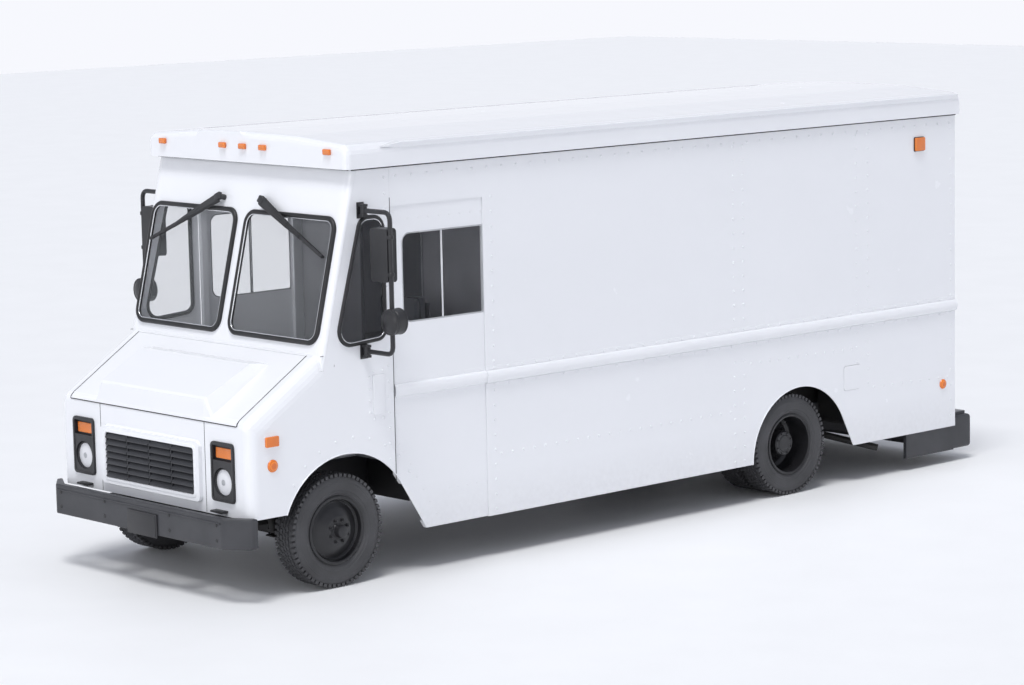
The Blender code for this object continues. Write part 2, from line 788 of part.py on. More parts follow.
def make_frame():
    front = station(-0.74)
    back = station(6.62)
    half = 0.035
    rail = box_mesh((RAIL_X - half, front, RAIL_BOTTOM_Z), (RAIL_X + half, back, RAIL_TOP_Z))
    obj = add_part("frame_rails", rail, STEEL)
    join(obj, box_mesh((-RAIL_X - half, front, RAIL_BOTTOM_Z), (-RAIL_X + half, back, RAIL_TOP_Z)))
    low_z = RAIL_BOTTOM_Z + 0.03
    high_z = RAIL_TOP_Z - 0.03
    for offset in (-0.71, 1.55, 2.9, 3.70, 5.40, 6.57):
        y = station(offset)
        join(obj, box_mesh((-RAIL_X, y - 0.03, low_z), (RAIL_X, y + 0.03, high_z)))
    for offset, half in ((0.9, 0.66), (2.3, 1.0), (3.4, 1.0), (5.3, 1.0)):
        y = station(offset)
        join(obj, box_mesh((-half, y - 0.03, RAIL_TOP_Z - 0.01), (half, y + 0.03, FLOOR_Z - 0.026)))


def make_cab_floor():
    """Floor plate with a firewall, two wheelhouses and a step well at each side door."""
    front = station(-0.10)
    back = station(BULKHEAD) - 0.001
    half = 1.030
    sheet = 0.01
    obj = add_part("cab_floor", box_mesh((-half, front, FLOOR_Z - 0.02), (half, back, FLOOR_Z)), GREY)
    join(obj, box_mesh((-half, front, FLOOR_Z - 0.02), (half, front + sheet, 1.52)))
    cover = [(front, FLOOR_Z - 0.01), (front + 0.64, FLOOR_Z - 0.01), (front + 0.57, 1.14), (front, 1.21)]
    join(obj, prism_mesh("X", [rounded(cover, [0, 0, 0.05, 0], 4)], -0.33, 0.33))
    for side in (-1, 1):
        def span(inner, outer, y_low, y_high, z_low, z_high):
            xs = sorted((side * inner, side * outer))
            return box_mesh((xs[0], y_low, z_low), (xs[1], y_high, z_high))
        well_back = station(0.56)
        join(obj, span(0.58, half, front, well_back, FLOOR_Z - 0.02, 0.90))
        cut(obj, span(0.58 + sheet, half + 0.1, front - 0.1, well_back - sheet, 0.5, 0.90 - sheet))
        step_front = station(0.66)
        step_back = station(1.30)
        join(obj, span(0.70, half, step_front, step_back, STEP_Z, FLOOR_Z))
        cut(obj, span(0.70 + sheet, half + 0.1, step_front + sheet, step_back - sheet, STEP_Z + sheet, 2.0))


def make_cargo_floor():
    front = station(BULKHEAD) + 0.001
    back = station(BODY_BACK) - 0.052
    pocket = station(2.21)
    inner = 1.030
    outer = HALF_WIDTH - SKIN - 0.004
    wide = pocket + 0.05
    outline = [(-inner, front), (inner, front), (inner, pocket), (outer, wide), (outer, back)]
    outline += [(-outer, back), (-outer, wide), (-inner, pocket)]
    obj = prism("cargo_floor", "Z", outline, FLOOR_Z - 0.025, FLOOR_Z, GREY)
    sheet = 0.01
    top = 0.92
    low_y = REAR_AXLE_Y - 0.50
    high_y = REAR_AXLE_Y + 0.50
    edge = outer - 0.003
    for side in (-1, 1):
        xs = sorted((side * 0.55, side * edge))
        join(obj, box_mesh((xs[0], low_y, FLOOR_Z - 0.015), (xs[1], high_y, top)))
    for side in (-1, 1):
        xs = sorted((side * (0.55 + sheet), side * 1.2))
        cut(obj, box_mesh((xs[0], low_y + sheet, 0.4), (xs[1], high_y - sheet, top - sheet)))


def make_dashboard():
    front = station(-0.085)
    points = [(front, 1.22), (front + 0.30, 1.22), (front + 0.36, 1.30)]
    points += [(front + 0.30, 1.44), (front, 1.50)]
    obj = prism("dashboard", "X", rounded(points, [0, 0.03, 0.04, 0.05, 0], 3), -1.02, 1.02, GREY)
    cluster = [(front + 0.05, 1.40), (front + 0.28, 1.40), (front + 0.22, 1.58), (front + 0.06, 1.58)]
    join(obj, prism_mesh("X", [rounded(cluster, 0.03, 3)], 0.28, 0.70))


def make_engine():
    front = station(-0.60)
    obj = add_part("engine", box_mesh((-0.25, front, 0.62), (0.25, station(-0.16), 1.08)), STEEL)
    join(obj, box_mesh((-0.20, front + 0.05, 0.50), (0.20, station(-0.22), 0.66)))
    join(obj, rod_mesh((0, station(-0.30), 0.64), (0, station(1.10), 0.60), 0.085, 20))
    join(obj, rod_mesh((0, front - 0.03, 0.84), (0, front + 0.02, 0.84), 0.11, 24))
    radiator_y = station(-0.70)
    join(obj, box_mesh((-0.34, radiator_y, 0.735), (0.34, radiator_y + 0.05, 1.12)))
    for x, z in ((0.20, 1.02), (-0.20, 0.82)):
        join(obj, rod_mesh((x, radiator_y + 0.02, z), (x, front + 0.05, z), 0.024, 12))


def make_steering_column():
    start = Vector(WHEEL_HUB) - COLUMN_DIRECTION * 0.032
    obj = add_part("steering_column", rod_mesh(start, COLUMN_FOOT, 0.022, 14), BLACK)
    x = WHEEL_HUB[0]
    plate_y = station(-0.09) + 0.0015
    join(obj, box_mesh((x - 0.08, plate_y, FLOOR_Z + 0.02), (x + 0.08, plate_y + 0.05, 0.98)))


def make_steering_wheel():
    hub = Vector(WHEEL_HUB)
    turn = COLUMN_DIRECTION.to_track_quat("Z", "Y").to_matrix().to_4x4()
    place = Matrix.Translation(hub) @ turn
    profile = []
    for step in range(10):
        angle = -2 * math.pi * step / 10
        profile.append((0.215 + 0.014 * math.cos(angle), 0.014 * math.sin(angle)))
    rim = turned_mesh(profile, (0, 0, 0), "Z", 26)
    rim.transform(place)
    obj = add_part("steering_wheel", rim, BLACK)
    boss = rod_mesh((0, 0, -0.030), (0, 0, 0.012), 0.045, 20)
    boss.transform(place)
    join(obj, boss)
    for angle in (0, 120, 240):
        turned = Matrix.Rotation(math.radians(angle + 90), 4, "Z")
        spoke = box_mesh((0.02, -0.015, -0.008), (0.218, 0.015, 0.006))
        spoke.transform(place @ turned)
        join(obj, spoke)
    mesh = evaluated_mesh(obj)
    obj.modifiers.clear()
    obj.data = mesh
    paint(obj, BLACK)
    set_origin(obj, WHEEL_HUB)


def make_seat():
    x = WHEEL_HUB[0]
    y = station(0.90)
    foot = rounded(rectangle((x - 0.17, y - 0.20), (x + 0.13, y + 0.20)), 0.04)
    pedestal = prism("seat_pedestal", "Z", foot, FLOOR_Z + GAP, 1.06, BLACK)
    bevel(pedestal, 0.006)
    mesh = box_mesh((x - 0.24, y - 0.25, 1.072), (x + 0.24, y + 0.25, 1.19))
    cushion = add_part("seat_cushion", mesh, SEAT)
    bevel(cushion, 0.035, 3)
    mesh = box_mesh((x - 0.23, y + 0.170, 1.194), (x + 0.23, y + 0.27, 1.86))
    back = add_part("seat_back", mesh, SEAT)
    bevel(back, 0.035, 3)
    mesh = box_mesh((x - 0.20, y - 0.22, 1.0606), (x + 0.20, y + 0.30, 1.0714))
    frame = add_part("seat_frame", mesh, BLACK)
    join(frame, box_mesh((x - 0.20, y + 0.2704, 1.062), (x + 0.20, y + 0.29, 1.80)))


def make_tank_and_exhaust():
    tank = add_part("fuel_tank", box_mesh((0.50, station(5.42), 0.40), (0.92, station(6.20), 0.70)), STEEL)
    bevel(tank, 0.04, 3)
    strap_top = 0.7744
    for offset in (5.62, 6.0):
        y = station(offset)
        join(tank, box_mesh((0.49, y - 0.02, 0.41), (0.93, y + 0.02, strap_top)))
    route = [(-0.24, station(-0.12), 0.58), (-0.24, station(0.30), 0.47), (-0.24, station(3.75), 0.47)]
    route += [(-0.24, station(4.10), 0.60), (-0.24, station(4.90), 0.60), (-0.24, station(5.30), 0.39)]
    route += [(0.66, station(5.32), 0.325), (1.00, station(5.60), 0.2175)]
    obj = add_part("exhaust_system", tube_mesh(route, 0.028, 0.10), STEEL)
    join(obj, rod_mesh((-0.24, station(2.2), 0.47), (-0.24, station(3.0), 0.47), 0.095, 24))


def make_bumpers():
    half = 0.96
    front = station(-0.91)
    swept = station(-0.782)
    outer = 1.13
    thick = 0.06
    inner = half - 0.03
    outline = [(-outer, swept), (-half, front), (half, front), (outer, swept)]
    outline += [(outer, swept + 0.05), (inner, front + thick)]
    outline += [(-inner, front + thick), (-outer, swept + 0.05)]
    obj = prism("front_bumper", "Z", outline, 0.385, 0.595, BLACK)
    bevel(obj, 0.014, 2, 30)
    for side in (-1, 1):
        xs = sorted((side * 0.33, side * 0.42))
        join(obj, box_mesh((xs[0], front + 0.03, 0.42), (xs[1], station(-0.76), 0.56)))
    half = 1.075
    low = 0.10
    top = 0.37
    back = station(6.68)
    obj = add_part("rear_bumper", box_mesh((-half, station(6.389), low), (half, back, top)), BLACK)
    bevel(obj, 0.03, 3, 30)
    for side in (-1, 1):
        xs = sorted((side * (half - 0.03), side * half))
        join(obj, box_mesh((xs[0], station(5.862), low), (xs[1], station(6.45), 0.297)))
        xs = sorted((side * 0.37, side * 0.43))
        join(obj, box_mesh((xs[0], station(6.46), 0.25), (xs[1], station(6.60), RAIL_BOTTOM_Z - GAP)))
    step = rounded(rectangle((-1.03, station(6.43)), (1.03, back - 0.02)), 0.02)
    join(obj, prism_mesh("Z", [step], top - 0.01, 0.39))


# Wheels and axles ---------------------------------------------------------------------------


def tyre_profile():
    """Closed (radius, width) outline, outer side first: a tyre that is open towards its rim."""
    half = TYRE_WIDTH / 2
    bead = RIM_RADIUS - 0.0145
    outer = [
        (TYRE_RADIUS - 0.008, half * 0.86),
        (TYRE_RADIUS, half * 0.74),
        (TYRE_RADIUS, -half * 0.74),
        (TYRE_RADIUS - 0.008, -half * 0.86),
        (TYRE_RADIUS - 0.050, -half * 0.98),
        (0.300, -half),
        (0.248, -half * 0.88),
        (0.2385, -half * 0.78),
        (bead, -half * 0.78),
    ]
    inner = [
        (bead, -half * 0.60),
        (0.300, -half * 0.86),
        (0.370, -half * 0.66),
    ]
    upper_inner = [(radius, -height) for radius, height in reversed(inner)]
    upper_outer = [(radius, -height) for radius, height in reversed(outer[4:])]
    return outer + inner + upper_inner + upper_outer


def front_wheel_profile():
    """The rim's section: a disc that bulges outboard to a raised hub, and the barrel."""
    half = TYRE_WIDTH / 2 * 0.78 + 0.009
    inner = RIM_RADIUS - 0.023
    return [
        (RIM_RADIUS, half),
        (RIM_RADIUS, half - 0.008),
        (RIM_RADIUS - 0.015, half - 0.008),
        (RIM_RADIUS - 0.015, -half + 0.008),
        (RIM_RADIUS, -half + 0.008),
        (RIM_RADIUS, -half),
        (inner, -half),
        (inner, 0.016),
        (0.185, 0.036),
        (0.105, 0.086),
        (0.074, 0.094),
        (0.070, -0.030),
        (0.026, -0.030),
        (0.026, 0.160),
        (0.048, 0.160),
        (0.056, 0.150),
        (0.058, 0.108),
        (0.100, 0.108),
        (0.110, 0.100),
        (0.190, 0.050),
        (inner, 0.030),
        (inner, half),
    ]


def make_front_wheels():
    for side, place in ((1, "left"), (-1, "right")):
        centre = (side * TRACK_X, FRONT_AXLE_Y, AXLE_Z)
        wheel = turned_mesh(front_wheel_profile(), (0, 0, 0))
        tyre = turned_mesh(tyre_profile(), (0, 0, 0))
        for base, mesh, look in (("wheel", wheel, STEEL), ("tyre", tyre, RUBBER)):
            if side < 0:
                mesh.transform(Matrix.Rotation(math.pi, 4, "Z"))
            obj = add_part(f"front_{place}_{base}", mesh, look)
            obj.location = centre


def rear_wheel_profile():
    """Both rims of a dual pair in one section, bolted together at the middle disc."""
    half = TYRE_WIDTH / 2 * 0.78 + 0.009
    spread = (TRACK_X - DUAL_INNER_X) / 2
    inner = RIM_RADIUS - 0.023
    seat = RIM_RADIUS - 0.015
    upper = [
        (RIM_RADIUS, spread + half),
        (RIM_RADIUS, spread + half - 0.008),
        (seat, spread + half - 0.008),
        (seat, spread - half + 0.008),
        (RIM_RADIUS, spread - half + 0.008),
        (RIM_RADIUS, spread - half),
        (inner, spread - half),
        (0.195, 0.010),
        (0.150, 0.004),
    ]
    lower = [(radius, -height) for radius, height in reversed(upper)]
    inside_low = [
        (inner, -spread - half),
        (inner, -spread + half - 0.016),
        (0.180, -0.014),
        (0.105, -0.014),
        (0.105, -0.060),
        (0.078, -0.060),
        (0.078, 0.156),
        (0.090, 0.160),
        (0.098, 0.148),
        (0.105, 0.014),
        (0.180, 0.014),
        (inner, spread - half + 0.016),
        (inner, spread + half),
    ]
    return upper[:-1] + lower[1:] + inside_low


def make_rear_wheels():
    middle = (TRACK_X + DUAL_INNER_X) / 2
    for side, place in ((1, "left"), (-1, "right")):
        wheel = turned_mesh(rear_wheel_profile(), (0, 0, 0))
        if side < 0:
            wheel.transform(Matrix.Rotation(math.pi, 4, "Z"))
        obj = add_part(f"rear_{place}_wheels", wheel, STEEL)
        obj.location = (side * middle, REAR_AXLE_Y, AXLE_Z)
        for base, x in (("outer", TRACK_X), ("inner", DUAL_INNER_X)):
            tyre = add_part(f"rear_{place}_{base}_tyre", turned_mesh(tyre_profile(), (0, 0, 0)), RUBBER)
            tyre.location = (side * x, REAR_AXLE_Y, AXLE_Z)


def spring_mesh(x, axle_y, length, seat_z):
    """A pack of leaves: a shallow bow, thick in the middle."""
    half = length / 2
    points = [
        (axle_y - half, seat_z + 0.080),
        (axle_y - half * 0.5, seat_z + 0.018),
        (axle_y, seat_z - 0.002),
        (axle_y + half * 0.5, seat_z + 0.018),
        (axle_y + half, seat_z + 0.080),
        (axle_y + half, seat_z + 0.092),
        (axle_y + half * 0.5, seat_z + 0.045),
        (axle_y, seat_z + 0.045),
        (axle_y - half * 0.5, seat_z + 0.045),
        (axle_y - half, seat_z + 0.092),
    ]
    return prism_mesh("X", [points], x - 0.03, x + 0.03)


def make_front_axle():
    y = FRONT_AXLE_Y
    obj = add_part("front_axle", box_mesh((-0.66, y - 0.035, 0.285), (0.66, y + 0.035, 0.365)), STEEL)
    for side in (-1, 1):
        xs = sorted((side * 0.62, side * 0.735))
        join(obj, box_mesh((xs[0], y - 0.034, 0.33), (xs[1], y + 0.034, 0.435)))
        join(obj, spring_mesh(side * RAIL_X, y, 1.10, 0.365))


def make_knuckles():
    left, right = side_names("knuckle")
    y = FRONT_AXLE_Y
    obj = add_part(left, rod_mesh((KINGPIN_X, y, 0.320), (KINGPIN_X, y, 0.465), 0.048, 20), STEEL)
    join(obj, rod_mesh((0.80, y, AXLE_Z), (1.02, y, AXLE_Z), 0.0245, 18))
    join(obj, rod_mesh((0.815, y, AXLE_Z), (0.850, y, AXLE_Z), 0.060, 20))
    mesh = evaluated_mesh(obj)
    obj.modifiers.clear()
    obj.data = mesh
    paint(obj, STEEL)
    set_origin(obj, (KINGPIN_X, y, AXLE_Z))
    mirrored(obj, right, STEEL)


def make_rear_axle():
    y = REAR_AXLE_Y
    obj = add_part("rear_axle", rod_mesh((-0.985, y, AXLE_Z), (0.985, y, AXLE_Z), 0.060, 24), STEEL)
    shape = bmesh.new()
    bmesh.ops.create_uvsphere(shape, u_segments=16, v_segments=10, radius=0.165)
    housing = bpy.data.meshes.new("housing")
    shape.to_mesh(housing)
    shape.free()
    housing.transform(Matrix.Translation((0, y, AXLE_Z)) @ Matrix.Diagonal((0.8, 0.85, 0.95, 1)))
    join(obj, housing)
    join(obj, rod_mesh((0, y - 0.10, SHAFT_Z), (0, y - 0.21, SHAFT_Z), 0.05, 18))
    for side in (-1, 1):
        join(obj, spring_mesh(side * 0.44, y, 1.35, 0.405))


def make_driveshaft():
    start = (0, REAR_AXLE_Y - 0.213, SHAFT_END[2])
    obj = add_part("driveshaft", rod_mesh(SHAFT_START, SHAFT_END, 0.040, 20), STEEL)
    join(obj, rod_mesh(Vector(SHAFT_END) - Vector((0, 0.04, 0)), start, 0.055, 20))
    mesh = evaluated_mesh(obj)
    obj.modifiers.clear()
    obj.data = mesh
    paint(obj, STEEL)
    set_origin(obj, SHAFT_END)


# Wipers and mirrors -------------------------------------------------------------------------


def screen_point(x, z, off):
    """A point at a distance off the windscreen's outer face."""
    lean = (SCREEN_TOP[0] - COWL[0]) / (SCREEN_TOP[1] - COWL[1])
    normal = Vector((0, -1, lean)).normalized()
    base = Vector((x, station(COWL[0] + (z - COWL[1]) * lean), z))
    return base + normal * off


def make_wipers():
    left, right = side_names("wiper")
    pivot_low = screen_point(WIPER_PIVOT_X, WIPER_PIVOT_Z, 0.001)
    pivot_high = screen_point(WIPER_PIVOT_X, WIPER_PIVOT_Z, 0.045)
    obj = add_part(left, rod_mesh(pivot_low, pivot_high, 0.020, 16), BLACK)
    knee = screen_point(0.46, 2.475, 0.050)
    hold = screen_point(0.70, 2.362, 0.036)
    arm_start = screen_point(WIPER_PIVOT_X, WIPER_PIVOT_Z, 0.038)
    join(obj, tube_mesh([arm_start, knee, hold], 0.011, 0.02))
    join(obj, rod_mesh(screen_point(0.42, 2.485, 0.026), screen_point(0.975, 2.245, 0.026), 0.0105, 10))
    mesh = evaluated_mesh(obj)
    obj.modifiers.clear()
    obj.data = mesh
    paint(obj, BLACK)
    set_origin(obj, pivot_low)
    mirrored(obj, right, BLACK)


def make_mirrors():
    left, right = side_names("mirror")
    y = MIRROR_Y
    route = [(MIRROR_X, y, MIRROR_TOP_Z), (MIRROR_OUT_X, y, MIRROR_TOP_Z)]
    route += [(MIRROR_OUT_X, y, MIRROR_LOW_Z), (MIRROR_X, y, MIRROR_LOW_Z)]
    obj = add_part(left, tube_mesh(route, 0.0165, 0.06), BLACK)
    for z in (MIRROR_TOP_Z, MIRROR_LOW_Z):
        join(obj, rod_mesh((MIRROR_X, y, z - 0.026), (MIRROR_X, y, z + 0.026), 0.024, 16))
    head = rounded(rectangle((1.205, 2.085), (1.385, 2.445)), 0.025, 3)
    join(obj, prism_mesh("Y", [head], y - 0.020, y + 0.055))
    join(obj, rod_mesh((1.41, y - 0.040, 1.825), (1.41, y + 0.045, 1.825), 0.088, 28))
    mesh = evaluated_mesh(obj)
    obj.modifiers.clear()
    obj.data = mesh
    paint(obj, BLACK)
    set_origin(obj, (MIRROR_X, y, 2.0))
    mirrored(obj, right, BLACK)


def main():
    make_frame()
    make_cab_floor()
    make_cargo_floor()
    make_side_panels()
    make_filler_door()
    make_cowl_sides()
    make_windshield_panel()
    make_windshield_glasses()
    make_quarter_glasses()
    make_grille_panel()
    make_grille()
    make_headlamps()
    make_bonnet()
    make_cab_doors()
    make_roof()
    make_rear_frame()
    make_rear_doors()
    make_bulkhead()
    make_dashboard()
    make_engine()
    make_steering_column()
    make_steering_wheel()
    make_seat()
    make_tank_and_exhaust()
    make_bumpers()
    make_front_axle()
    make_knuckles()
    make_front_wheels()
    make_rear_axle()
    make_rear_wheels()
    make_driveshaft()
    make_wipers()
    make_mirrors()


for old in list(bpy.data.objects):
    bpy.data.objects.remove(old)
PARTS = new_collection("mail_delivery_truck")
CUTTERS = new_collection("cutters")
main()
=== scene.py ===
"""The looks of the mail delivery step van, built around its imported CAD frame. Metres, nose along -Y."""

import json
import math

import bmesh
import bpy
from mathutils import Matrix, Vector


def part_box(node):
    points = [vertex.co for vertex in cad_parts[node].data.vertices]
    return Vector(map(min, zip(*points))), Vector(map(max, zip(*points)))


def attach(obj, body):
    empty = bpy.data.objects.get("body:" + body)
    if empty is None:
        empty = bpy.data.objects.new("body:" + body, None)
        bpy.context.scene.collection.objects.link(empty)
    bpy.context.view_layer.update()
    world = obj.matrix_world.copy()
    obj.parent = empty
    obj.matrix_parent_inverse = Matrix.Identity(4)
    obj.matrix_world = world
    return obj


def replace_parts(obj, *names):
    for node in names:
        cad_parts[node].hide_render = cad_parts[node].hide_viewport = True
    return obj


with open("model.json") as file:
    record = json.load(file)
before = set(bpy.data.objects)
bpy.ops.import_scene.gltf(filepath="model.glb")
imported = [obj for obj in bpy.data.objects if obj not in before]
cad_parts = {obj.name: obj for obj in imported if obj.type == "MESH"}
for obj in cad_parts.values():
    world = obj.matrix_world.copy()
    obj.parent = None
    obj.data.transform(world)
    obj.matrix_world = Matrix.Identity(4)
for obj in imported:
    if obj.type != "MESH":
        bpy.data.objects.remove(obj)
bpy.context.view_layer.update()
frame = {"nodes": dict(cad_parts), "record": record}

# Sizes that the CAD model and the looks share
FRONT_AXLE_Y = -2.885
REAR_AXLE_Y = 1.635
AXLE_Z = 0.392
TRACK_X = 0.953
DUAL_INNER_X = 0.705
SIDE_X = 1.087
DOOR_X = 1.0805
SEAM_Z = 2.832
FLOOR_Z = 0.80
NOSE_Y = FRONT_AXLE_Y - 0.757
BACK_Y = FRONT_AXLE_Y + 6.455
BELT_Z = 1.291
BELT_HALF = 0.046
BELT_BULGE = 0.028
COWL = (-0.133, 1.607)
LEAN = 0.303 / 1.225
MIRROR_X = 1.125
MIRROR_Y = FRONT_AXLE_Y + 0.24
MIRROR_OUT_X = 1.395
MIRROR_TOP_Z = 2.555
MIRROR_LOW_Z = 1.600
BODY = "truck_body"
SIDES = (("left", 1), ("right", -1))
DOORS = ("left_sliding_door", "right_sliding_door")
CARGO_DOORS = ("left_cargo_door", "right_cargo_door")

# Wheel arches: (distance behind the axle, height), radius, first and last angle, and a foot's height
FRONT_ARCH = ((0.065, 0.351), 0.567, 157.4, 32.6)
REAR_ARCH = ((4.605, 0.297), 0.543, 180.0, 26.9, 0.300)

# Places that several details share
BUMPER_Y = FRONT_AXLE_Y - 0.91
DASH_Y = FRONT_AXLE_Y - 0.085
BULKHEAD_Y = FRONT_AXLE_Y + 1.42
HEADLAMP = (0.798, NOSE_Y + 0.012, 0.797)
ROUND_MIRROR_X = 1.41
ROUND_MIRROR_Z = 1.825
CLEARANCE_LAMP_XS = (-0.927, -0.226, 0.0, 0.226, 0.927)
HINGE_HEIGHTS = (0.98, 1.60, 2.22)
GEAR_LEVER_Y = FRONT_AXLE_Y + 0.40
FUEL_CAP_Y = FRONT_AXLE_Y + 5.20
SHAFT_Z = 0.404

# The seat pads' cloth simulation
PAD_ROOM = 0.014
PAD_VOXEL = 0.0055
PAD_PRESSURE = 4.0
PAD_SWELL = 0.012
PAD_FRAMES = 20


def station(offset):
    """The y of a distance behind the front axle."""
    return FRONT_AXLE_Y + offset


def screen_point(x, z, off):
    """A point at a distance off the windscreen's outer face."""
    normal = Vector((0, -1, LEAN)).normalized()
    return Vector((x, station(COWL[0] + (z - COWL[1]) * LEAN), z)) + normal * off


# Materials ----------------------------------------------------------------------------------


def new_material(name):
    """A material with its node tree's nodes and links, and its Principled shader."""
    material = bpy.data.materials.new(name)
    material.use_nodes = True
    tree = material.node_tree
    return material, tree.nodes, tree.links, tree.nodes["Principled BSDF"]


def noise(nodes, links, scale, detail=4.0):
    """Noise fixed to the object's own coordinates."""
    place = nodes.new("ShaderNodeTexCoord")
    texture = nodes.new("ShaderNodeTexNoise")
    texture.inputs["Scale"].default_value = scale
    texture.inputs["Detail"].default_value = detail
    links.new(place.outputs["Object"], texture.inputs["Vector"])
    return texture.outputs["Fac"]


def ramp(nodes, links, source, dark, light, low=0.35, high=0.65):
    colours = nodes.new("ShaderNodeValToRGB")
    colours.color_ramp.elements[0].position = low
    colours.color_ramp.elements[1].position = high
    colours.color_ramp.elements[0].color = (*dark, 1)
    colours.color_ramp.elements[1].color = (*light, 1)
    links.new(source, colours.inputs["Fac"])
    return colours.outputs["Color"]


def spread_value(nodes, links, source, low, high):
    """A 0 to 1 source spread between two values."""
    spread = nodes.new("ShaderNodeMapRange")
    spread.inputs["To Min"].default_value = low
    spread.inputs["To Max"].default_value = high
    links.new(source, spread.inputs["Value"])
    return spread.outputs["Result"]


def bump(nodes, links, shader, height, strength, distance):
    relief = nodes.new("ShaderNodeBump")
    relief.inputs["Strength"].default_value = strength
    relief.inputs["Distance"].default_value = distance
    links.new(height, relief.inputs["Height"])
    links.new(relief.outputs["Normal"], shader.inputs["Normal"])


def coated(name, dark, light, rough=(0.3, 0.4), grain=30.0, relief=0.0005, metallic=0.0, coat=0.0,
           patch=3.0):
    """A painted, moulded or metal surface: patchy colour, patchy gloss and a fine relief."""
    material, nodes, links, shader = new_material(name)
    patches = noise(nodes, links, patch)
    links.new(ramp(nodes, links, patches, dark, light), shader.inputs["Base Color"])
    gloss = spread_value(nodes, links, noise(nodes, links, patch * 3), *rough)
    links.new(gloss, shader.inputs["Roughness"])
    bump(nodes, links, shader, noise(nodes, links, grain), 0.35, relief)
    shader.inputs["Metallic"].default_value = metallic
    shader.inputs["Coat Weight"].default_value = coat
    shader.inputs["Coat Roughness"].default_value = 0.06
    return material


def body_paint(name):
    """White gloss over sheet metal, with a breath of road dust low down."""
    material, nodes, links, shader = new_material(name)
    tint = ramp(nodes, links, noise(nodes, links, 0.9), (0.835, 0.845, 0.875), (0.845, 0.855, 0.885))
    place = nodes.new("ShaderNodeTexCoord")
    split = nodes.new("ShaderNodeSeparateXYZ")
    links.new(place.outputs["Object"], split.inputs["Vector"])
    low = nodes.new("ShaderNodeMapRange")
    low.inputs["From Min"].default_value = 0.30
    low.inputs["From Max"].default_value = 0.62
    low.inputs["To Min"].default_value = 0.55
    low.inputs["To Max"].default_value = 0.0
    links.new(split.outputs["Z"], low.inputs["Value"])
    specks = noise(nodes, links, 26.0, 6.0)
    dust = nodes.new("ShaderNodeMath")
    dust.operation = "MULTIPLY"
    links.new(low.outputs["Result"], dust.inputs[0])
    links.new(specks, dust.inputs[1])
    mix = nodes.new("ShaderNodeMix")
    mix.data_type = "RGBA"
    links.new(dust.outputs["Value"], mix.inputs["Factor"])
    links.new(tint, mix.inputs["A"])
    mix.inputs["B"].default_value = (0.62, 0.62, 0.635, 1)
    links.new(mix.outputs["Result"], shader.inputs["Base Color"])
    gloss = spread_value(nodes, links, noise(nodes, links, 5.0), 0.20, 0.30)
    links.new(gloss, shader.inputs["Roughness"])
    bump(nodes, links, shader, noise(nodes, links, 2.2, 2.0), 0.25, 0.0008)
    shader.inputs["Coat Weight"].default_value = 0.35
    shader.inputs["Coat Roughness"].default_value = 0.05
    return material


def glazing(name, colour, alpha, rough=0.03):
    """Glass that shows what is behind it, with faint dust that varies over the pane."""
    material, nodes, links, shader = new_material(name)
    patches = noise(nodes, links, 2.5)
    deep = tuple(value * 0.85 for value in colour)
    links.new(ramp(nodes, links, patches, deep, colour), shader.inputs["Base Color"])
    links.new(spread_value(nodes, links, patches, rough, rough + 0.05), shader.inputs["Roughness"])
    shader.inputs["Alpha"].default_value = alpha
    shader.inputs["IOR"].default_value = 1.5
    material.surface_render_method = "BLENDED"
    return material


def lens(name, dark, light, ribs):
    """A moulded lamp lens with fine upright ribs and a little glow of its own colour."""
    material, nodes, links, shader = new_material(name)
    place = nodes.new("ShaderNodeTexCoord")
    wave = nodes.new("ShaderNodeTexWave")
    wave.inputs["Scale"].default_value = ribs
    wave.inputs["Distortion"].default_value = 0.0
    links.new(place.outputs["Object"], wave.inputs["Vector"])
    links.new(ramp(nodes, links, wave.outputs["Fac"], dark, light, 0.1, 0.9), shader.inputs["Base Color"])
    bump(nodes, links, shader, wave.outputs["Fac"], 0.5, 0.0015)
    shader.inputs["Roughness"].default_value = 0.14
    shader.inputs["Coat Weight"].default_value = 0.6
    shader.inputs["Coat Roughness"].default_value = 0.04
    shader.inputs["Emission Color"].default_value = (*light, 1)
    shader.inputs["Emission Strength"].default_value = 0.06
    return material


def woven(name, dark, light, scale):
    """Seat cloth: two crossed waves make the weave, and a slow noise fades it."""
    material, nodes, links, shader = new_material(name)
    place = nodes.new("ShaderNodeTexCoord")
    threads = []
    for direction in ("X", "Z"):
        wave = nodes.new("ShaderNodeTexWave")
        wave.bands_direction = direction
        wave.inputs["Scale"].default_value = scale
        wave.inputs["Distortion"].default_value = 1.2
        links.new(place.outputs["Object"], wave.inputs["Vector"])
        threads.append(wave.outputs["Fac"])
    weave = nodes.new("ShaderNodeMath")
    weave.operation = "MULTIPLY"
    links.new(threads[0], weave.inputs[0])
    links.new(threads[1], weave.inputs[1])
    faded = nodes.new("ShaderNodeMath")
    faded.operation = "ADD"
    links.new(weave.outputs["Value"], faded.inputs[0])
    links.new(noise(nodes, links, 9.0), faded.inputs[1])
    links.new(ramp(nodes, links, faded.outputs["Value"], dark, light, 0.3, 1.2),
              shader.inputs["Base Color"])
    bump(nodes, links, shader, weave.outputs["Value"], 0.6, 0.0012)
    shader.inputs["Roughness"].default_value = 0.88
    shader.inputs["Sheen Weight"].default_value = 0.25
    return material


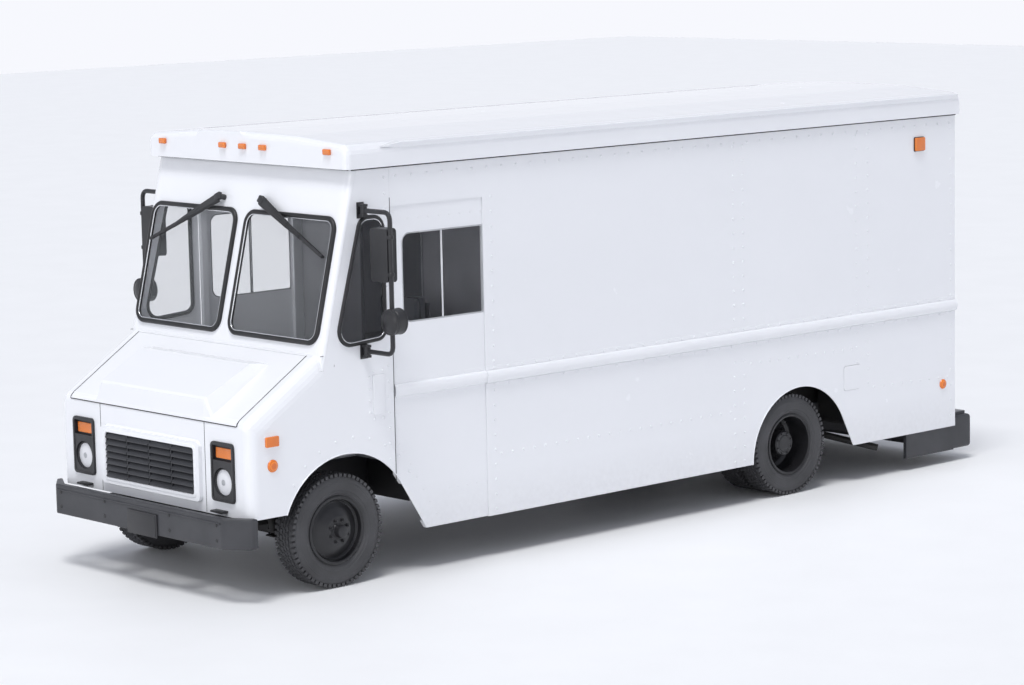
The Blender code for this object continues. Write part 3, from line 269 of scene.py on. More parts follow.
def tread_plate(name, dark, light):
    """Raised bars in a chequer on worn metal."""
    material, nodes, links, shader = new_material(name)
    place = nodes.new("ShaderNodeTexCoord")
    turn = nodes.new("ShaderNodeMapping")
    turn.inputs["Rotation"].default_value = (0, 0, math.radians(45))
    bricks = nodes.new("ShaderNodeTexBrick")
    bricks.inputs["Scale"].default_value = 14.0
    bricks.inputs["Mortar Size"].default_value = 0.03
    links.new(place.outputs["Object"], turn.inputs["Vector"])
    links.new(turn.outputs["Vector"], bricks.inputs["Vector"])
    links.new(ramp(nodes, links, noise(nodes, links, 6.0), dark, light), shader.inputs["Base Color"])
    bump(nodes, links, shader, bricks.outputs["Fac"], 0.6, 0.002)
    shader.inputs["Roughness"].default_value = 0.45
    shader.inputs["Metallic"].default_value = 0.7
    return material


PAINT = body_paint("white_body_paint")
PLASTIC = coated("satin_black_plastic", (0.016, 0.016, 0.018), (0.028, 0.028, 0.031), (0.32, 0.48),
                 160.0, 0.0006)
BUMPER = coated("bumper_black", (0.030, 0.031, 0.036), (0.048, 0.049, 0.055), (0.34, 0.50), 220.0, 0.0005)
# Black rubber for real seals, also used for the dark cords that paint the shade in panel gaps.
GASKET_AND_GAP_SHADE = coated("gasket_rubber_and_gap_shade", (0.010, 0.010, 0.011), (0.020, 0.020, 0.022), (0.38, 0.55), 90.0, 0.0006)
TYRE = coated("tyre_rubber", (0.038, 0.038, 0.041), (0.062, 0.062, 0.067), (0.50, 0.70), 140.0, 0.0010)
RIM = coated("rim_paint", (0.016, 0.016, 0.018), (0.028, 0.028, 0.031), (0.24, 0.34), 120.0, 0.0003, 0.2)
CHASSIS = coated("chassis_paint", (0.014, 0.014, 0.015), (0.040, 0.038, 0.036), (0.55, 0.80), 60.0, 0.0012)
ENGINE = coated("engine_metal", (0.05, 0.055, 0.06), (0.12, 0.12, 0.125), (0.45, 0.7), 50.0, 0.0015, 0.5)
BRIGHT = coated("bright_metal", (0.66, 0.67, 0.69), (0.82, 0.83, 0.85), (0.18, 0.30), 200.0, 0.0002, 0.9)
DULL = coated("dull_aluminium", (0.42, 0.43, 0.45), (0.58, 0.59, 0.61), (0.38, 0.55), 120.0, 0.0004, 0.6)
GREY = coated("interior_grey", (0.20, 0.20, 0.215), (0.25, 0.25, 0.268), (0.45, 0.65), 180.0, 0.0006)
DARK_GREY = coated("dash_grey", (0.085, 0.085, 0.092), (0.13, 0.13, 0.138), (0.5, 0.7), 260.0, 0.0008)
MIRROR = coated("mirror_glass", (0.80, 0.82, 0.84), (0.88, 0.90, 0.91), (0.02, 0.05), 5.0, 0.00002, 1.0)
CLEAR = glazing("clear_glass", (0.86, 0.90, 0.93), 0.04)
SMOKED = glazing("smoked_glass", (0.060, 0.063, 0.070), 0.13, 0.05)
AMBER = lens("amber_lens", (0.62, 0.13, 0.010), (0.86, 0.24, 0.02), 60.0)
RED = lens("red_lens", (0.45, 0.012, 0.010), (0.70, 0.03, 0.02), 60.0)
FROST = lens("headlamp_lens", (0.62, 0.63, 0.66), (0.80, 0.80, 0.83), 40.0)
CLOTH = woven("seat_cloth", (0.045, 0.047, 0.055), (0.10, 0.105, 0.12), 240.0)
GRILLE_PAINT = coated("grille_black", (0.022, 0.023, 0.027), (0.036, 0.037, 0.042), (0.30, 0.45), 150.0,
                      0.0005)
DECK = tread_plate("step_plate", (0.20, 0.20, 0.21), (0.34, 0.34, 0.35))


# Mesh helpers -------------------------------------------------------------------------------


def mesh_of(shape):
    mesh = bpy.data.meshes.new("shape")
    shape.to_mesh(mesh)
    shape.free()
    return mesh


def evaluated(data):
    """A curve or mesh as a plain mesh, with the loose caps of a curve welded."""
    obj = bpy.data.objects.new("shape", data)
    bpy.context.scene.collection.objects.link(obj)
    return evaluated_object(obj)


def evaluated_object(obj):
    bpy.context.view_layer.update()
    graph = bpy.context.evaluated_depsgraph_get()
    mesh = bpy.data.meshes.new_from_object(obj.evaluated_get(graph))
    bpy.data.objects.remove(obj)
    mesh.materials.clear()
    shape = bmesh.new()
    shape.from_mesh(mesh)
    bmesh.ops.remove_doubles(shape, verts=shape.verts, dist=1e-5)
    bmesh.ops.recalc_face_normals(shape, faces=shape.faces)
    shape.to_mesh(mesh)
    shape.free()
    return mesh


def rounded(points, radius, steps=6):
    """The outline with each corner turned by an arc; radius is one value or one per corner."""
    radii = [radius] * len(points) if isinstance(radius, (int, float)) else radius
    outline = []
    for index, corner in enumerate(points):
        corner = Vector(corner)
        if radii[index] <= 0:
            outline.append(tuple(corner))
            continue
        before = (Vector(points[index - 1]) - corner).normalized()
        after = (Vector(points[(index + 1) % len(points)]) - corner).normalized()
        half_angle = before.angle(after) / 2
        reach = radii[index] / math.tan(half_angle)
        centre = corner + (before + after).normalized() * radii[index] / math.sin(half_angle)
        start = corner + before * reach - centre
        sweep = start.angle_signed(corner + after * reach - centre)
        first = math.atan2(start.y, start.x)
        for step in range(steps + 1):
            angle = first - sweep * step / steps
            outline.append(tuple(centre + Vector((math.cos(angle), math.sin(angle))) * radii[index]))
    return outline


def rectangle(low, high):
    return [(low[0], low[1]), (high[0], low[1]), (high[0], high[1]), (low[0], high[1])]


PLANES = {
    "X": Matrix(((0, 0, 1, 0), (1, 0, 0, 0), (0, 1, 0, 0), (0, 0, 0, 1))),
    "Y": Matrix(((1, 0, 0, 0), (0, 0, -1, 0), (0, 1, 0, 0), (0, 0, 0, 1))),
    "Z": Matrix.Identity(4),
}


def slab(plane, outlines, low, high, edge=0.0):
    """Outlines (the first, less the others) made a plate from low to high, with softened edges."""
    curve = bpy.data.curves.new("outline", "CURVE")
    curve.dimensions = "2D"
    curve.fill_mode = "BOTH"
    curve.extrude = (high - low) / 2 - edge
    curve.bevel_depth = edge
    curve.bevel_resolution = 2
    curve.offset = -edge
    for points in outlines:
        spline = curve.splines.new("POLY")
        spline.points.add(len(points) - 1)
        spline.use_cyclic_u = True
        for point, (u, v) in zip(spline.points, points):
            point.co = (u, v, 0, 1)
    mesh = evaluated(curve)
    middle = (low + high) / 2
    mesh.transform(PLANES[plane] @ Matrix.Translation((0, 0, -middle if plane == "Y" else middle)))
    return mesh


def block(low, high, edge=0.004, segments=2):
    """A box with all its edges rounded."""
    low = Vector(low)
    high = Vector(high)
    size = high - low
    shape = bmesh.new()
    bmesh.ops.create_cube(shape, size=1.0)
    bmesh.ops.scale(shape, vec=size, verts=shape.verts)
    bmesh.ops.translate(shape, vec=(low + high) / 2, verts=shape.verts)
    edge = min(edge, min(size) * 0.45)
    bmesh.ops.bevel(shape, geom=shape.edges, offset=edge, segments=segments, profile=0.5, affect="EDGES")
    return mesh_of(shape)


def rod(start, end, radius, sides=20, edge=0.15):
    """A round bar with chamfered ends; edge is the chamfer's share of the radius."""
    start = Vector(start)
    along = Vector(end) - start
    chamfer = min(radius * edge, along.length * 0.3)
    profile = [(0, 0), (radius - chamfer, 0), (radius, chamfer), (radius, along.length - chamfer)]
    profile += [(radius - chamfer, along.length), (0, along.length)]
    mesh = turned(profile, sides, False)
    turn = along.to_track_quat("Z", "Y").to_matrix().to_4x4()
    mesh.transform(Matrix.Translation(start) @ turn)
    return mesh


def turned(profile, steps=64, closed=True):
    """A (radius, height) outline turned about Z; an open one starts and ends on the axis."""
    count = len(profile)
    loop = [(index, (index + 1) % count) for index in range(count if closed else count - 1)]
    mesh = bpy.data.meshes.new("profile")
    mesh.from_pydata([(radius, 0, height) for radius, height in profile], loop, [])
    obj = bpy.data.objects.new("profile", mesh)
    bpy.context.scene.collection.objects.link(obj)
    screw = obj.modifiers.new("turn", "SCREW")
    screw.steps = steps
    screw.render_steps = steps
    screw.use_merge_vertices = True
    screw.merge_threshold = 0.00001
    return evaluated_object(obj)


def aim(mesh, centre, direction):
    """Turns a mesh's Z to a direction and moves it to a centre."""
    turn = Vector(direction).to_track_quat("Z", "Y").to_matrix().to_4x4()
    mesh.transform(Matrix.Translation(centre) @ turn)
    return mesh


def bolt_head(radius, crown, height, sides, place, direction):
    """A low domed head; crown is the radius where its top starts to slope."""
    profile = [(0, height), (crown, height - 0.001), (radius, 0.0), (0, 0.0)]
    return aim(turned(profile, sides, False), place, direction)


def tube(points, radius, bend=0.0, cyclic=False):
    """A round tube along points, its corners eased by the bend length."""
    route = [Vector(point) for point in points]
    smooth = route if cyclic else [route[0]]
    if not cyclic:
        for index in range(1, len(route) - 1):
            corner = route[index]
            before = (route[index - 1] - corner).normalized()
            after = (route[index + 1] - corner).normalized()
            for step in range(9):
                blend = step / 8
                smooth.append(corner + before * bend * (1 - blend) ** 2 + after * bend * blend**2)
        smooth.append(route[-1])
    curve = bpy.data.curves.new("tube", "CURVE")
    curve.dimensions = "3D"
    curve.bevel_depth = radius
    curve.bevel_resolution = 4
    curve.use_fill_caps = not cyclic
    spline = curve.splines.new("POLY")
    spline.points.add(len(smooth) - 1)
    spline.use_cyclic_u = cyclic
    for point, position in zip(spline.points, smooth):
        point.co = (*position, 1)
    return evaluated(curve)


def merged(meshes):
    """Several meshes as one."""
    shape = bmesh.new()
    for mesh in meshes:
        shape.from_mesh(mesh)
        bpy.data.meshes.remove(mesh)
    return mesh_of(shape)


def flipped(mesh):
    """The mirror image across the truck's middle, as a new mesh."""
    twin = mesh.copy()
    twin.transform(Matrix.Scale(-1, 4, (1, 0, 0)))
    twin.flip_normals()
    return twin


def smooth(mesh, angle=35):
    mesh.shade_smooth()
    mesh.set_sharp_from_angle(angle=math.radians(angle))


def piece(name, mesh, body, look, slot=None, angle=35):
    """A mesh as a visible piece that rides on a body, with its look. The slot argument is not used."""
    mesh.name = name
    obj = bpy.data.objects.new(name, mesh)
    bpy.context.scene.collection.objects.link(obj)
    mesh.materials.clear()
    mesh.materials.append(look)
    smooth(mesh, angle)
    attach(obj, body)
    return obj


def pair(name, mesh, bodies, look, slot=None, angle=35):
    """A left piece and its mirror image; bodies is one name, or the left and right ones."""
    left_body, right_body = (bodies, bodies) if isinstance(bodies, str) else bodies
    twin = flipped(mesh)
    left = piece(f"left_{name}", mesh, left_body, look, slot, angle)
    right = piece(f"right_{name}", twin, right_body, look, slot, angle)
    return left, right


# Camera, floor and light ----------------------------------------------------------------------


def make_camera():
    """The picture's viewpoint: where it stands, its two angles, its roll and its lens."""
    azimuth = math.radians(47.6832)
    elevation = math.radians(7.9310)
    roll = math.radians(-1.1609)
    flat = math.cos(elevation)
    back = Vector((math.sin(azimuth) * flat, -math.cos(azimuth) * flat, math.sin(elevation)))
    right = Vector((0, 0, 1)).cross(back).normalized()
    up = back.cross(right)
    turned_right = right * math.cos(roll) + up * math.sin(roll)
    turned_up = up * math.cos(roll) - right * math.sin(roll)
    camera = bpy.data.cameras.new("camera")
    camera.sensor_width = 36.0
    camera.lens = 110.614
    camera.clip_end = 200
    obj = bpy.data.objects.new("camera", camera)
    bpy.context.scene.collection.objects.link(obj)
    spin = Matrix((turned_right, turned_up, back)).transposed().to_4x4()
    obj.matrix_world = Matrix.Translation((17.347, -16.091, 4.572)) @ spin
    bpy.context.scene.camera = obj


def make_floor():
    material, nodes, links, shader = new_material("studio_floor")
    speckle = ramp(nodes, links, noise(nodes, links, 1.5), (0.855, 0.86, 0.87), (0.87, 0.875, 0.885))
    links.new(speckle, shader.inputs["Base Color"])
    shader.inputs["Roughness"].default_value = 0.55
    shape = bmesh.new()
    bmesh.ops.create_grid(shape, x_segments=2, y_segments=2, size=60)
    floor = bpy.data.objects.new("studio_floor", mesh_of(shape))
    floor.data.materials.append(material)
    floor.location.z = -0.002
    bpy.context.scene.collection.objects.link(floor)


def area_light(name, place, target, size, power):
    light = bpy.data.lights.new(name, "AREA")
    light.shape = "RECTANGLE"
    light.size = size[0]
    light.size_y = size[1]
    light.energy = power
    obj = bpy.data.objects.new(name, light)
    obj.location = place
    aim_at = Vector(target) - Vector(place)
    obj.rotation_euler = aim_at.to_track_quat("-Z", "Y").to_euler()
    bpy.context.scene.collection.objects.link(obj)


def make_world():
    """A studio sky: bright round the horizon, softer overhead."""
    world = bpy.data.worlds.new("studio")
    world.use_nodes = True
    nodes = world.node_tree.nodes
    links = world.node_tree.links
    sky = nodes["Background"]
    place = nodes.new("ShaderNodeTexCoord")
    split = nodes.new("ShaderNodeSeparateXYZ")
    links.new(place.outputs["Generated"], split.inputs["Vector"])
    colours = nodes.new("ShaderNodeValToRGB")
    colours.color_ramp.elements[0].position = 0.06
    colours.color_ramp.elements[0].color = (0.93, 0.94, 0.99, 1)
    colours.color_ramp.elements[1].position = 0.45
    colours.color_ramp.elements[1].color = (0.42, 0.44, 0.50, 1)
    links.new(split.outputs["Z"], colours.inputs["Fac"])
    links.new(colours.outputs["Color"], sky.inputs["Color"])
    sky.inputs["Strength"].default_value = 1.0
    bpy.context.scene.world = world


def make_light():
    make_world()
    sun = bpy.data.lights.new("soft_sun", "SUN")
    sun.energy = 2.0
    sun.angle = math.radians(20)
    obj = bpy.data.objects.new("soft_sun", sun)
    obj.rotation_euler = Vector((-0.21, 0.34, -1.0)).to_track_quat("-Z", "Y").to_euler()
    bpy.context.scene.collection.objects.link(obj)
    area_light("front_panel", (5, -16, 6), (0, -2, 1.5), (8, 5), 260)
    bpy.context.scene.view_settings.view_transform = "Standard"


# Carried-over CAD nodes -----------------------------------------------------------------------

LOOKS = {
    "body_white": PAINT,
    "interior_grey": GREY,
    "black_plastic": PLASTIC,
    "black_steel": PLASTIC,
    "chassis_steel": CHASSIS,
    "wheel_steel": RIM,
    "tyre_rubber": TYRE,
    "clear_glass": CLEAR,
    "dark_glass": SMOKED,
    "seat_vinyl": CLOTH,
}
SPECIAL = {
    "front_bumper": BUMPER,
    "rear_bumper": BUMPER,
    "dashboard": DARK_GREY,
    "engine": ENGINE,
    "seat_pedestal": DARK_GREY,
}


def dress_cad_nodes():
    slots = {entry["node"]: entry["material_slot"] for entry in frame["record"]["subparts"]}
    for name, obj in frame["nodes"].items():
        look = SPECIAL.get(name, LOOKS[slots[name]])
        obj.data.materials.clear()
        obj.data.materials.append(look)
        for face in obj.data.polygons:
            face.material_index = 0
        smooth(obj.data, 32)


# Glazing seals ----------------------------------------------------------------------------------


def pane_outline(inset):
    low = (0.058 + inset, 1.678 + inset)
    high = (1.022 - inset, 2.502 - inset)
    return rounded(rectangle(low, high), 0.085 - inset, 10)


def quarter_outline(inset):
    points = [(-0.008, 1.640), (0.435, 1.668), (0.432, 2.505), (0.235, 2.505)]
    outline = [(station(y), z) for y, z in rounded(points, [0.10, 0.07, 0.085, 0.085], 8)]
    centre = Vector((station(0.27), 2.05))
    moved = []
    for point in outline:
        away = Vector(point) - centre
        moved.append(tuple(centre + away * (1 - inset / away.length)))
    return moved


def door_window_outline(inset):
    low = (station(0.603) + inset, 1.750 + inset)
    high = (station(1.343) - inset, 2.370 - inset)
    corner = 0.07 - inset
    return rounded(rectangle(low, high), [corner, 0.012, 0.012, corner], 8)


def make_seals():
    """Rubber seals round each fixed pane, with the bright bead pressed into them."""
    seal = tube([screen_point(x, z, 0.004) for x, z in pane_outline(0.002)], 0.019, cyclic=True)
    pair("windshield_seal", seal, BODY, GASKET_AND_GAP_SHADE)
    bead = tube([screen_point(x, z, 0.012) for x, z in pane_outline(0.018)], 0.0045, cyclic=True)
    pair("windshield_bead", bead, BODY, BRIGHT, "black_plastic")
    seal = tube([(SIDE_X + 0.002, y, z) for y, z in quarter_outline(0.003)], 0.015, cyclic=True)
    pair("quarter_seal", seal, BODY, GASKET_AND_GAP_SHADE)
    bead = tube([(SIDE_X + 0.008, y, z) for y, z in quarter_outline(0.017)], 0.004, cyclic=True)
    pair("quarter_bead", bead, BODY, BRIGHT, "black_plastic")


def make_door_window_trim():
    """The cab door's aluminium window frame, its two sliding panes' meeting bar with a painted shadow strip
    beside it, and rear channel.
    """
    face = DOOR_X - 0.006
    frame_ring = slab("X", [door_window_outline(0.0008), door_window_outline(0.010)], face,
                      face + 0.006, 0.001)
    pair("door_window_frame", frame_ring, DOORS, DULL)
    bar_y = station(0.965)
    bar = block((face, bar_y - 0.008, 1.760), (face + 0.0065, bar_y + 0.008, 2.361), 0.0025)
    # A thin dark strip beside the meeting bar is painted shadow: it stands for the bar's shade.
    shadow = block((face, bar_y + 0.010, 1.760), (face + 0.003, bar_y + 0.018, 2.361), 0.001)
    pair("door_window_bar", bar, DOORS, BRIGHT, "black_steel")
    pair("door_window_bar_shadow", shadow, DOORS, GASKET_AND_GAP_SHADE)
    channel = block((DOOR_X - 0.002, station(1.3435), 1.745), (DOOR_X + 0.0012, station(1.3625), 2.375),
                    0.0008)
    pair("door_window_channel", channel, DOORS, DULL)


# Rivets and side details ------------------------------------------------------------------------


def dome(shape, place, direction, radius, height):
    before = set(shape.verts)
    bmesh.ops.create_uvsphere(shape, u_segments=8, v_segments=4, radius=radius)
    fresh = [vert for vert in shape.verts if vert not in before]
    for vert in fresh:
        vert.co.z = max(vert.co.z, -0.1 * radius)
    turn = Vector(direction).to_track_quat("Z", "Y").to_matrix().to_4x4()
    flat = Matrix.Diagonal((1, 1, height / radius, 1))
    bmesh.ops.transform(shape, matrix=Matrix.Translation(place) @ turn @ flat, verts=fresh)


def rivet_mesh(points, direction, radius=0.0105, height=0.0060):
    shape = bmesh.new()
    for place in points:
        dome(shape, place, direction, radius, height)
    return mesh_of(shape)


def run(start, end, pitch):
    """Evenly spaced values from start to end."""
    count = max(1, round(abs(end - start) / pitch))
    return [start + (end - start) * index / count for index in range(count + 1)]


def clear_of_belt(z):
    return abs(z - BELT_Z) > 0.085


def panel_rivets():
    """Rivet places on the side panel, as (distance behind the axle, height)."""
    places = []
    for column, low, high in (
        (1.424, 0.345, 2.56),
        (3.869, 0.345, 2.74),
        (3.974, 0.345, 2.74),
        (5.257, 0.96, 2.74),
        (5.393, 0.78, 2.74),
    ):
        places += [(column, z) for z in run(low, high, 0.108) if clear_of_belt(z)]
    places += [(y, 0.735) for y in run(1.48, 3.82, 0.107)]
    places += [(y, 1.085 - 0.016 * (y - 3.97)) for y in run(4.05, 5.20, 0.107)]
    places += [(y, 0.735 - 0.025 * (y - 5.46)) for y in run(5.46, 6.36, 0.107)]
    places += [(y, 2.765) for y in run(0.56, 6.38, 0.14)]
    places += [(6.40, z) for z in run(0.40, 2.72, 0.12) if clear_of_belt(z)]
    return places


def arch_rivets():
    """Rivets that follow the wheel arch's rear edge up the door."""
    places = []
    for share in (0.0, 0.2, 0.4, 0.6, 0.8, 1.0):
        places.append((0.575 + 0.29 * share, 0.86 - 0.47 * share))
    return places


def door_rivets():
    places = [(0.535, z) for z in run(0.92, 2.52, 0.108) if clear_of_belt(z)]
    places += [(y, 2.465) for y in run(0.66, 1.33, 0.095)]
    places += [(y, 0.555) for y in run(0.98, 1.33, 0.088)]
    return places + arch_rivets()


def cowl_rivets():
    places = [(0.455, z) for z in run(0.83, 2.76, 0.108)]
    for angle in run(35, 150, 14):
        turn = math.radians(angle)
        places.append((0.10 - 0.60 * math.cos(turn), 0.42 + 0.60 * math.sin(turn)))
    places += [(0.285, z) for z in run(1.17, 1.41, 0.08)]
    places += [(y, 1.452) for y in (0.32, 0.40)]
    places += [(y, 1.122) for y in (0.32, 0.40)]
    return places


def belt_rivets(start, end):
    places = []
    for z in (BELT_Z - BELT_HALF - 0.014, BELT_Z + BELT_HALF + 0.014):
        places += [(y, z) for y in run(start, end, 0.135)]
    return places


def make_rivets():
    out = (1, 0, 0)
    fixed = [(SIDE_X, station(y), z) for y, z in panel_rivets() + cowl_rivets()]
    pair("panel_rivets", rivet_mesh(fixed, out), BODY, PAINT)
    belt = [(SIDE_X + 0.0038, station(y), z) for y, z in belt_rivets(1.42, 6.39)]
    pair("belt_rivets", rivet_mesh(belt, out, 0.0095, 0.0060), BODY, PAINT)
    moving = [(DOOR_X, station(y), z) for y, z in door_rivets()]
    moving += [(DOOR_X + 0.0002, station(y), z) for y, z in belt_rivets(0.56, 1.30)]
    pair("door_rivets", rivet_mesh(moving, out, 0.0095, 0.0021), DOORS, PAINT)


def belt_cap(x, y, reach, bulge):
    """The belt rail's closed round nose: a quarter dome swept to nothing ahead of y."""
    shape = bmesh.new()
    rows = []
    for step in range(7):
        turn = math.pi / 2 * step / 6
        line = []
        for index in range(9):
            angle = math.pi * index / 8
            lift = bulge * math.sin(angle) ** 0.8 * math.cos(turn)
            z = BELT_Z - BELT_HALF * math.cos(angle) * (0.35 + 0.65 * math.cos(turn))
            line.append(shape.verts.new((x + lift + 0.0002, y - reach * math.sin(turn), z)))
        rows.append(line)
    for low, high in zip(rows, rows[1:]):
        for index in range(8):
            shape.faces.new((low[index], high[index], high[index + 1], low[index + 1]))
    bmesh.ops.recalc_face_normals(shape, faces=shape.faces)
    return mesh_of(shape)


def make_belt():
    """Flanges above and below the belt rail, and its closed front nose on the door."""
    for name, bodies, x, start, end, thick in (
        ("belt", BODY, SIDE_X, 1.345, 6.44, 0.0040),
        ("door_belt", DOORS, DOOR_X, 0.520, 1.362, 0.0009),
    ):
        strips = []
        for side in (-1, 1):
            edges = sorted((BELT_Z + side * BELT_HALF, BELT_Z + side * (BELT_HALF + 0.028)))
            strips.append(block((x - 0.001, station(start), edges[0]),
                                (x + thick, station(end), edges[1]), 0.0006, 1))
        pair(f"{name}_flanges", merged(strips), bodies, PAINT)
    cap = belt_cap(DOOR_X, station(0.545), 0.03, BELT_BULGE)
    pair("door_belt_nose", cap, DOORS, PAINT)


def make_side_details():
    """Cowl hatch and the wheel arches' rolled edges."""
    hatch = slab("X", [rounded(rectangle((station(0.311), 1.150), (station(0.414), 1.426)), 0.008)],
                 SIDE_X + 0.0003, SIDE_X + 0.0095, 0.002)
    pair("cowl_hatch", hatch, BODY, PAINT)
    lip = tube([(SIDE_X - 0.001, y, z) for y, z in arch(*FRONT_ARCH)], 0.005)
    pair("front_arch_lip", lip, BODY, PAINT)
    lip = tube([(SIDE_X - 0.001, y, z) for y, z in arch(*REAR_ARCH)], 0.005)
    pair("rear_arch_lip", lip, BODY, PAINT)


def arch(centre, radius, first, last, foot=None):
    """Points along a wheel arch in (y, z), between two angles and then straight down to a foot."""
    outline = []
    for step in range(25):
        angle = math.radians(first + (last - first) * step / 24)
        outline.append((station(centre[0] + radius * math.cos(angle)),
                        centre[1] + radius * math.sin(angle)))
    if foot is not None:
        back, low = outline[-1]
        outline.append((back + (low - foot) * math.tan(math.radians(last)), foot))
    return outline


def make_drip_rails():
    """The gutter moulding along each side of the roof, tapered at its front end."""
    shape = bmesh.new()
    section = [(-0.006, -0.016), (0.003, -0.014), (0.0155, 0.021), (0.013, 0.027), (-0.050, 0.0325)]
    rows = []
    for y, size in ((0.40, 0.05), (0.50, 0.6), (0.58, 1.0), (3.0, 1.0), (6.44, 1.0)):
        rows.append([shape.verts.new((1.1175 + u * size, station(y), 2.972 + v * size)) for u,
                     v in section])
    for low, high in zip(rows, rows[1:]):
        for index in range(len(section) - 1):
            shape.faces.new((low[index], high[index], high[index + 1], low[index + 1]))
    shape.faces.new(rows[-1])
    bmesh.ops.recalc_face_normals(shape, faces=shape.faces)
    pair("drip_rail", mesh_of(shape), BODY, PAINT)


def lamp_mesh(width, height, depth, edge):
    """A marker lens facing +Z before it is aimed."""
    return block((-width / 2, -height / 2, -0.002), (width / 2, height / 2, depth), edge, 3)


def make_marker_lamps():
    side_lamps = (
        ("front_marker", -0.576, 1.083, 0.110, 0.070),
        ("rear_upper_marker", 6.010, 2.620, 0.115, 0.105),
    )
    for name, y, z, width, height in side_lamps:
        lens_block = slab("X", [rounded(rectangle((station(y) - width / 2, z - height / 2),
                                                  (station(y) + width / 2, z + height / 2)), 0.010)],
                          SIDE_X + 0.004, SIDE_X + 0.022, 0.005)
        pair(name, lens_block, BODY, AMBER)
        base = slab("X", [rounded(rectangle((station(y) - width / 2 - 0.005, z - height / 2 - 0.005),
                                            (station(y) + width / 2 + 0.005, z + height / 2 + 0.005)),
                                            0.012)],
                    SIDE_X + 0.0003, SIDE_X + 0.005, 0.001)
        pair(f"{name}_base", base, BODY, PLASTIC if name.startswith("rear") else PAINT, "black_plastic")
    for name, y, z, radius in (("front_round", -0.568, 0.918, 0.043), ("rear_round", 6.301, 0.658, 0.040)):
        profile = [(0, 0.018), (radius * 0.55, 0.016), (radius * 0.88, 0.010), (radius, 0.002),
                   (radius, 0.0), (0, 0.0)]
        mesh = aim(turned(profile, 32, False), (SIDE_X + 0.0005, station(y), z), (1, 0, 0))
        pair(f"{name}_reflector", mesh, BODY, AMBER)


def make_roof_lamps():
    """Five amber clearance lamps on the roof's front face, and five red ones at the back."""
    for index, x in enumerate(CLEARANCE_LAMP_XS):
        mesh = lamp_mesh(0.075, 0.040, 0.020, 0.008)
        mesh.transform(Matrix.Rotation(math.radians(90), 4, "X"))
        mesh.transform(Matrix.Translation((x, station(0.105) - 0.0005, 2.948)))
        piece(f"roof_lamp_{index}", mesh, BODY, AMBER)
    for index, x in enumerate(CLEARANCE_LAMP_XS):
        mesh = lamp_mesh(0.075, 0.040, 0.016, 0.007)
        mesh.transform(Matrix.Rotation(math.radians(-90), 4, "X"))
        mesh.transform(Matrix.Translation((x, BACK_Y + 0.0205, 2.900)))
        piece(f"rear_roof_lamp_{index}", mesh, BODY, RED)


def make_gap_shadows():
    """Painted shade in the gaps between the body's panels: thin dark cords laid in them stand in for the
    gaps' shadow.
    """
    rise = (COWL[1] - 1.212) / (COWL[0] + 0.757)
    roof_z = SEAM_Z - 0.003
    front_y = station(0.168)
    hood_x = 0.9555
    roof_side = [(SIDE_X + 0.003, station(0.172), roof_z), (SIDE_X + 0.003, BACK_Y, roof_z)]
    roof_front = [(-1.06, front_y, roof_z), (1.06, front_y, roof_z)]
    hood_front = [(-0.95, NOSE_Y - 0.0005, 1.189), (0.95, NOSE_Y - 0.0005, 1.189)]
    hood_side = [(hood_x, NOSE_Y, 1.190), (hood_x, NOSE_Y + 0.006, 1.209), (hood_x, NOSE_Y + 0.030, 1.231)]
    hood_side.append((hood_x, station(-0.150), 1.212 + (0.757 - 0.150) * rise))
    door_front = [(SIDE_X, station(0.5), 0.665), (SIDE_X, station(0.5), 2.62)]
    grille_side = [(0.60, NOSE_Y, 0.575), (0.60, NOSE_Y, 1.186)]
    cowl_corner = [(SIDE_X - 0.006, station(COWL[0]), 1.60), (SIDE_X - 0.006, station(-0.02), 1.60)]
    cowl_corner.append((SIDE_X - 0.001, station(-0.02), 1.52))
    # Painted shade: each dark cord marks the shadow in a panel gap, not a part of its own.
    for make, name, route, radius, bend in (
        (pair, "roof_gap_shadow", roof_side, 0.0055, 0.0),
        (piece, "roof_front_gap_shadow", roof_front, 0.0055, 0.0),
        (piece, "hood_front_gap_shadow", hood_front, 0.0035, 0.0),
        (pair, "hood_side_gap_shadow", hood_side, 0.0032, 0.006),
        (pair, "door_front_gap_shadow", door_front, 0.0026, 0.0),
        (pair, "grille_panel_gap_shadow", grille_side, 0.0022, 0.0),
        (pair, "cowl_corner_gap_shadow", cowl_corner, 0.0022, 0.01),
    ):
        make(name, tube(route, radius, bend), BODY, GASKET_AND_GAP_SHADE)


# Nose ---------------------------------------------------------------------------------------------


